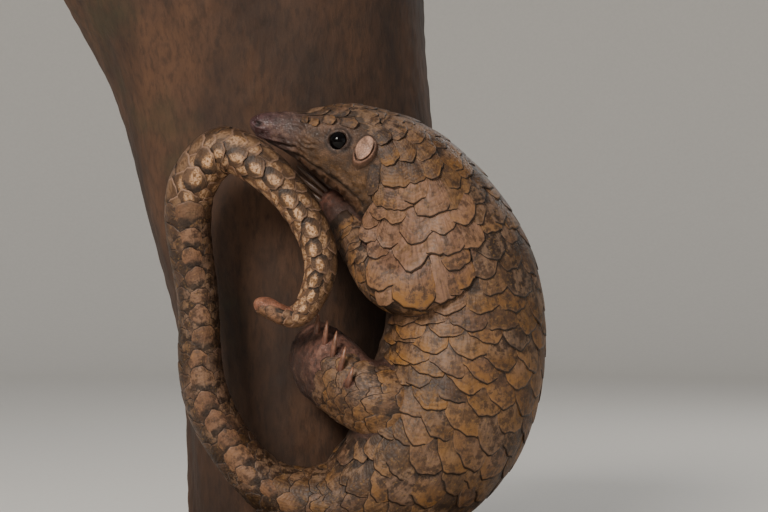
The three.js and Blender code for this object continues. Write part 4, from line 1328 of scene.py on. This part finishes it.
def body_rows():
    """One row for each scale of the body, from the forehead to the tip of the tail."""
    rows = []
    s, ring = COAT_START, 0
    while s < COAT_END:
        half, pitch = (float(np.interp(s, COAT[:, 0], COAT[:, k])) for k in (1, 3))
        count = next(number for until, number in RING_COUNTS if s < until)
        spacing = math.pi / count
        length = OVERLAP * pitch
        on_tail = smooth(s, 330, 380)
        curl = smooth(s, 548, 568) * fall(s, 728, 744)
        for column in range(ring % 2, 2 * count, 2):
            angle = column * spacing
            if angle > math.pi:
                angle -= 2 * math.pi
            off = math.degrees(abs(angle))
            if off > half - 3 or (s > 733 and off > 100):
                continue
            step = max(float(body_step(np.array(s + length / 2), np.array(angle))), 0.3)
            near_edge = np.clip((half - off) / 22, 0.62, 1)
            margin = on_tail * bell(off, 90, 12) * fall(s, 700, 740)
            shoulder = bell(s, 150, 42) * smooth(off, 35, 80)
            amber = 0.2 - 0.08 * shoulder + 0.3 * bell(s, 205, 50) + 0.2 * bell(s, 100, 20)
            # The tone falls along the spine, over the rump and on the tail. Along the spine and over the
            # rump this is partly the scales' own colour and partly painted shade, where they turn from the
            # light.
            tone = 0.52 - 0.15 * fall(off, 25, 70) - 0.12 * smooth(s, 230, 300) - 0.32 * on_tail
            spot = 0.9 * bell(off, 90, 14) + 0.5 * bell(off, 60, 12) + 0.25 * bell(off, 30, 12)
            spot = (spot + bell(off, 135, 24)) * (curl * random.uniform(0.75, 1.1))
            pale = 0.42 * margin * (1 - curl) + 0.7 * curl * smooth(off, 108, 128)
            row = {"s": s, "angle": angle, "length": length * near_edge, "spot": spot}
            row["width"] = spacing * 1.13 * (1 - 0.12 * margin) * (0.5 + 0.5 * near_edge)
            row["step"] = step * (0.85 - 0.2 * on_tail)
            row["extra"] = 0.7 * margin
            row["keel"] = 0.5 * (1 - on_tail) + (0.08 + 0.15 * on_tail) * step + 0.4 * margin
            row["tone"] = tone + 0.12 * shoulder
            row["pale"] = max(pale, 0.75 * smooth(s, 700, 730)) * random.uniform(0.7, 1.15)
            row["blunt"] = random.uniform(1.9, 2.7) - 0.35 * on_tail
            row["amber"] = random.normal(amber, 0.3) * (1 - 0.7 * on_tail) * smooth(s, 30, 110)
            row["rose"] = random.normal(0.1, 0.1) + 0.5 * shoulder
            rows.append(row)
        s += pitch
        ring += 1
    return rows


body_coat = Coat(BODY, body_rows())
middle = body_coat.centres()
wanted = np.ones(len(middle), bool)
for limb in LIMBS.values():
    wanted &= limb["tube"].outside(middle) > -2.5
for frames, landmark in ((EYE_FRAMES, EYE), (EAR_FRAMES, EAR)):
    for origin, *_ in frames.values():
        wanted &= norm(middle - origin) > landmark["clear"]
body_coat = body_coat.part(wanted & off_tables(middle))
print("scales of the body:", len(body_coat.v["s"]))

# the body's lengths and where along it each ends (mm)
LENGTHS = {
    "head": 84, "neck": 128, "chest": 192, "loin": 256, "rump": 322, "tail_1": 392, "tail_2": 470,
    "tail_3": 560, "tail_4": 632, "tail_5": 690, "tail_6": 726, "tail_7": 800,
}
coats, start = {}, 0
for name, end in LENGTHS.items():
    coats[name] = body_coat.part((body_coat.v["s"] >= start) & (body_coat.v["s"] < end))
    start = end

# %% Scales of the limbs
# On the forearm the scales' tips point back to the elbow.
# ring pitch (mm), scales in a ring, tone, share of rose colour
UPPER_ARM = (9.2, 6, 0.5, 0.6)
FOREARM = (5.4, 9, 0.4, 0.2)
HIND_LEG = (5.4, 11, 0.4, 0.2)


def limb_rows(limb):
    """One row for each scale of a limb."""
    rows = []
    for middle, half, step, start, until, way in limb["coats"]:
        kind = HIND_LEG if limb["toes"] is SHORT else UPPER_ARM if way > 0 else FOREARM
        pitch, count, tone, rose = kind
        s, ring = (start + 2, 0) if way > 0 else (until, 0)
        while start <= s <= until - (pitch if way > 0 else 0):
            for column in range(ring % 2, 2 * count, 2):
                angle = math.radians(middle) + column * (math.pi / count)
                off = float(degrees_from(np.array(angle), middle))
                if off > half - 4:
                    continue
                near_edge = np.clip((half - off) / 25, 0.6, 1)
                row = {"s": s, "angle": angle, "length": OVERLAP * pitch * near_edge, "way": way}
                row |= {"width": math.pi / count * 1.12 * near_edge, "step": step * 0.8, "keel": 0.1}
                row |= {"tone": tone, "rose": rose, "blunt": random.uniform(1.9, 2.6)}
                rows.append(row | {"amber": random.normal(0.25, 0.3)})
            s += way * pitch
            ring += 1
    return rows


for name, limb in LIMBS.items():
    coat = Coat(limb["tube"], limb_rows(limb))
    middle = coat.centres()
    coats[name] = coat.part((BODY.outside(middle) > -3) & off_tables(middle))

for name, coat in coats.items():
    piece = coat_piece(f"scales_{name}", coat, KERATIN)
    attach(piece, "root")
    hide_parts(name)

# %% Claws
CLAW_RINGS, CLAW_AROUND = 22, 16


def claw(path, radius):
    """A hooked claw: rings along a bent line that shrink to a blunt point, deeper than wide."""
    t = np.linspace(0, 1, CLAW_RINGS)
    centres = along_three(path, t)
    radii = radius * (1 - t**2.2) ** 0.6 * (1 - 0.25 * t) + 0.12
    return cord(centres, radii, CLAW_AROUND, squash=0.8)


def claw_tint(root, tip):
    """Colour of each point of one claw: from root to tip, with a few darker bands across."""
    t = np.linspace(0, 1, CLAW_RINGS)[:, None]
    share = smooth(t, 0.1, 0.9) * (0.86 + 0.14 * np.sin(2 * np.pi * t * 5))
    rings = np.array(linear(root)) * (1 - share) + np.array(linear(tip)) * share
    return with_ends(np.repeat(rings, CLAW_AROUND, 0))


for name, limb in LIMBS.items():
    foot = name.replace("leg", "foot")
    claws = [claw(path, radius) for path, radius in claw_paths(limb)]
    piece = new_piece(f"claws_{foot}", *joined(claws), HORN)
    colour_points(piece, "horn", np.tile(claw_tint(*limb["toes"]["claw"]), (len(claws), 1)))
    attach(piece, "root")

# %% Eyes
def ball(centre, radius, rings=40, around=56):
    """A sphere from its two angles."""
    polar = np.linspace(0.02, np.pi - 0.02, rings)
    return closed_tube(centre + radius * lathe(np.sin(polar), -np.cos(polar), around))


for side, (origin, _, _, out) in EYE_FRAMES.items():
    piece = new_piece(f"eye_{side}", *ball(origin - out * EYE["sunk"], EYE["radius"]), WET_EYE)
    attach(piece, "root")
    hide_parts(f"eye_{side}")

# %% Ears
EAR_PLATE = {"forward": 2.4, "front": 4.5, "rear": 4.7, "up": 7.5, "low": 7.6}
EAR_EDGE = {"front": 7.2, "rear": 10.4, "up": 10.4, "low": 14.2}
EAR_RINGS, EAR_AROUND = 44, 90


def ear(side):
    """A pale oval plate flat to the head, a thick fold behind and below it, painted shade in the crease."""
    origin, along, around, out = EAR_FRAMES[side]
    low = -around * np.sign(around @ BODY.section(EAR["along"])[2])
    a = circle(EAR_AROUND)[None, :]
    t = np.linspace(0.02, 1, EAR_RINGS)[:, None]

    def oval(size):
        """Radius of an oval with four unlike half sizes, at each angle from the rear by the low side."""
        x = np.where(np.cos(a) > 0, size["rear"], size["front"])
        y = np.where(np.sin(a) > 0, size["low"], size["up"])
        return 1 / np.hypot(np.cos(a) / x, np.sin(a) / y)

    plate, edge = oval(EAR_PLATE), oval(EAR_EDGE)
    radius = np.where(t < 0.5, plate * t * 2, plate + (edge - plate) * (2 * t - 1))
    fold = smooth(np.cos(a - 0.7), -0.45, 0.6)
    height = 0.9 + 0.9 * np.minimum(t * 2, 1) ** 2 + 0.25 * np.sin(3 * a) * t
    height = height - 2.4 * fold * bell(t, 0.545, 0.04) + 1.3 * fold * bell(t, 0.66, 0.12)
    height = height - 1.5 * (1 - fold) * smooth(t, 0.5, 0.68)
    height = height - 5.0 * smooth(t, 0.66, 1)
    x = radius * np.cos(a) - EAR_PLATE["forward"]
    y = radius * np.sin(a) * (1 + 0.03 * np.sin(5 * a))
    points = origin + along * x[..., None] + low * y[..., None] + out * height[..., None]
    folds = 0.5 + 0.5 * waves(points, 6, 41)
    tint = np.array(linear("#b98f77")) * (0.8 + 0.3 * folds[..., None])
    for amount, code in (
        (smooth(t, 0.52, 0.6) * fold, "#87604a"),
        # painted shade on the plate's sloping front edge
        (smooth(t, 0.46, 0.62) * (1 - fold), "#4e392b"),
        # painted shade in the crease between the plate and the fold
        (0.9 * fold * bell(t, 0.545, 0.035), "#24160f"),
        (smooth(t, 0.66, 0.86), "#5c422f"),
    ):
        amount = (amount * np.ones_like(height))[..., None]
        tint = tint * (1 - amount) + np.array(linear(code)) * amount
    tint[..., 3] = 0.3
    points, faces = closed_tube(points)
    return points, faces, with_ends(tint.reshape(-1, 4))


for side in SIDES:
    shape, faces, tints = ear(side)
    if side == "right":
        faces = [face[::-1] for face in faces]
    piece = new_piece(f"ear_{side}", shape, faces, SKIN)
    colour_points(piece, "hide", tints)
    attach(piece, "root")
    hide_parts(f"ear_{side}")

# %% [markdown]
# ## The trunk
# A cut length of a living tree: smooth bark over broad upright swellings, mottled in warm browns, and
# sawn ends.

# %% Bark
TRUNK_BOTTOM, TRUNK_TOP = 44, 398
TRUNK_RINGS, TRUNK_AROUND = 150, 320


def bark():
    """Smooth tropical bark: warm brown, mottled, with a fine upright grain."""
    surface = Finish("bark")
    upright = surface.squeezed(1, 1, 0.35)
    broad = surface.grain(46, detail=6, rough=0.62, vector=upright)
    fine = surface.grain(3.5, detail=5, rough=0.65, vector=upright)
    stain = surface.grain(90, detail=4, rough=0.6)
    colour = surface.layers(
        surface.ramp(broad, (0.3, "#22150d"), (0.48, "#3b2618"), (0.66, "#543824")),
        (surface.rise(fine, 0.42, 0.68, 0.0, 0.5), "#1c110a"),
        (surface.rise(stain, 0.55, 0.7, 0.0, 0.45), "#33301a"),
    )
    surface.shade({"Base Color": colour, "Roughness": 0.82})
    return surface.relief(surface.add_product(fine, 0.7, surface.times(broad, 0.8)), 0.9, 0.8)


def sawn_wood():
    """End grain: yearly rings around the heart, a little wavy."""
    wood = Finish("sawn_end_grain")
    centred = wood.squeezed(1, 1, 0, shift=(0.03, -0.03, 0))
    distance = wood.add("VectorMath", {0: centred}, operation="LENGTH")["Value"]
    wobble = wood.times(wood.grain(40), 14.0)
    ring = wood.sums("SINE", wood.add_product(distance, 1900.0, wobble))
    colour = wood.ramp(wood.rise(ring, -1.0, 1.0), (0.0, "#a98a62"), (0.8, "#c8ad84"), (1.0, "#8c6c48"))
    wood.shade({"Base Color": colour, "Roughness": 0.75})
    return wood.relief(ring, 0.2, 0.5)


def trunk_shape():
    """Rings up the trunk, their ends rounded over, with low lumps in the bark."""
    bottom, top = TRUNK_BOTTOM, TRUNK_TOP
    z = np.concatenate([[bottom + 0.02], np.linspace(bottom + 0.6, top - 0.6, TRUNK_RINGS), [top - 0.02]])
    z, a = paired(z, circle(TRUNK_AROUND))
    base = trunk_point(z, a)
    height = 0.4 * waves(base * np.array([1, 1, 0.4]), 30, 11, 18) + 0.2 * waves(base, 11, 13) - 0.4
    height = np.minimum(height, 0.2)
    height[0] -= 1.2
    height[-1] -= 1.2
    return closed_tube(trunk_point(z, a, height))


trunk = new_piece("trunk", *trunk_shape(), bark())
trunk.data.materials.append(sawn_wood())
up = read(trunk.data.polygons, "normal", 3)[:, 2]
ends = (np.abs(up) > 0.9).astype(int)
trunk.data.polygons.foreach_set("material_index", ends)
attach(trunk, "root")
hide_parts("perch_trunk")

# %% [markdown]
# ## The display stand
# A plain slab of dark stained hardwood and two short steel rods carry the trunk.

# %% Slab and rods
BASE = {"width": 330, "depth": 290, "height": 16, "corner": 40, "bevel": 3}
CORNER_STEPS, BEVEL_STEPS = 18, 7
INNER_RING = 60  # how far in from the edge the slab's innermost ring lies, mm
ROD = {"radius": 7, "xs": (-32, 44), "y": 30, "bottom": 16.3, "top": 43.7, "around": 48}


def stained_oak():
    """Dark stained oak under satin lacquer: grain lines about 5 mm apart along the slab."""
    oak = Finish("stained_oak")
    lengthways = oak.squeezed(0.1, 1, 1)
    line = oak.grain(5, detail=5, rough=0.6, vector=lengthways)
    pores = oak.grain(1.2, detail=2, vector=lengthways)
    colour = oak.ramp(line, (0.3, "#1c1410"), (0.5, "#2e221a"), (0.7, "#443326"))
    colour = oak.blend(oak.rise(pores, 0.6, 0.75, 0.0, 0.5), colour, "#120c09")
    oak.shade({"Base Color": colour, "Roughness": 0.42})
    return oak.relief(pores, 0.15, 0.4)


def brushed_steel():
    """Turned and brushed steel rod: fine rings around it."""
    steel = Finish("brushed_steel")
    brush = steel.grain(0.5, detail=3, vector=steel.squeezed(0.05, 0.05, 1))
    colour = steel.ramp(brush, (0.3, "#9a9a97"), (0.7, "#c2c1bd"))
    steel.shade({"Base Color": colour, "Metallic": 1.0, "Roughness": 0.34})
    return steel.relief(brush, 0.05, 0.3)


def slab():
    """Rounded rectangle, drawn in by a quarter circle at its lower and upper edge."""
    w, d, c, b, h = (BASE[k] for k in ("width", "depth", "corner", "bevel", "height"))
    turn = np.linspace(0, np.pi / 2, CORNER_STEPS)
    a = np.concatenate([turn + k * np.pi / 2 for k in range(4)])
    sx = np.repeat([1, -1, -1, 1], CORNER_STEPS)
    sy = np.repeat([1, 1, -1, -1], CORNER_STEPS)
    q = np.linspace(0, np.pi / 2, BEVEL_STEPS)
    inset = np.concatenate([[INNER_RING], b * (1 - np.sin(q)), b * (1 - np.cos(q)), [INNER_RING]])
    level = np.concatenate([[0], b * (1 - np.cos(q)), h - b + b * np.sin(q), [h]])
    radius, further = np.maximum(c - inset, 1), np.maximum(inset - c + 1, 0)
    x = sx * (w / 2 - c - further)[:, None] + radius[:, None] * np.cos(a)
    y = sy * (d / 2 - c - further)[:, None] + radius[:, None] * np.sin(a)
    return closed_tube(together(x, y, level[:, None]))


def rod(x):
    """Upright round bar with a small chamfer at both ends."""
    r, low, high = ROD["radius"], ROD["bottom"], ROD["top"]
    rise, inset = np.array([0, 0.02, 0.8, 1.4]), np.array([1.5, 0.8, 0.1, 0])
    levels = np.concatenate([low + rise, high - rise[::-1]])
    radii = r - np.concatenate([inset, inset[::-1]])
    return closed_tube(lathe(radii, levels, ROD["around"], (x, ROD["y"])))


base = new_piece("base", *slab(), stained_oak())
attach(base, "root")
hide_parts("stand_base")
STEEL = brushed_steel()
for i, x in enumerate(ROD["xs"], 1):
    piece = new_piece(f"rod_{i}", *rod(x), STEEL)
    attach(piece, "root")
    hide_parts(f"stand_rod_{i}")
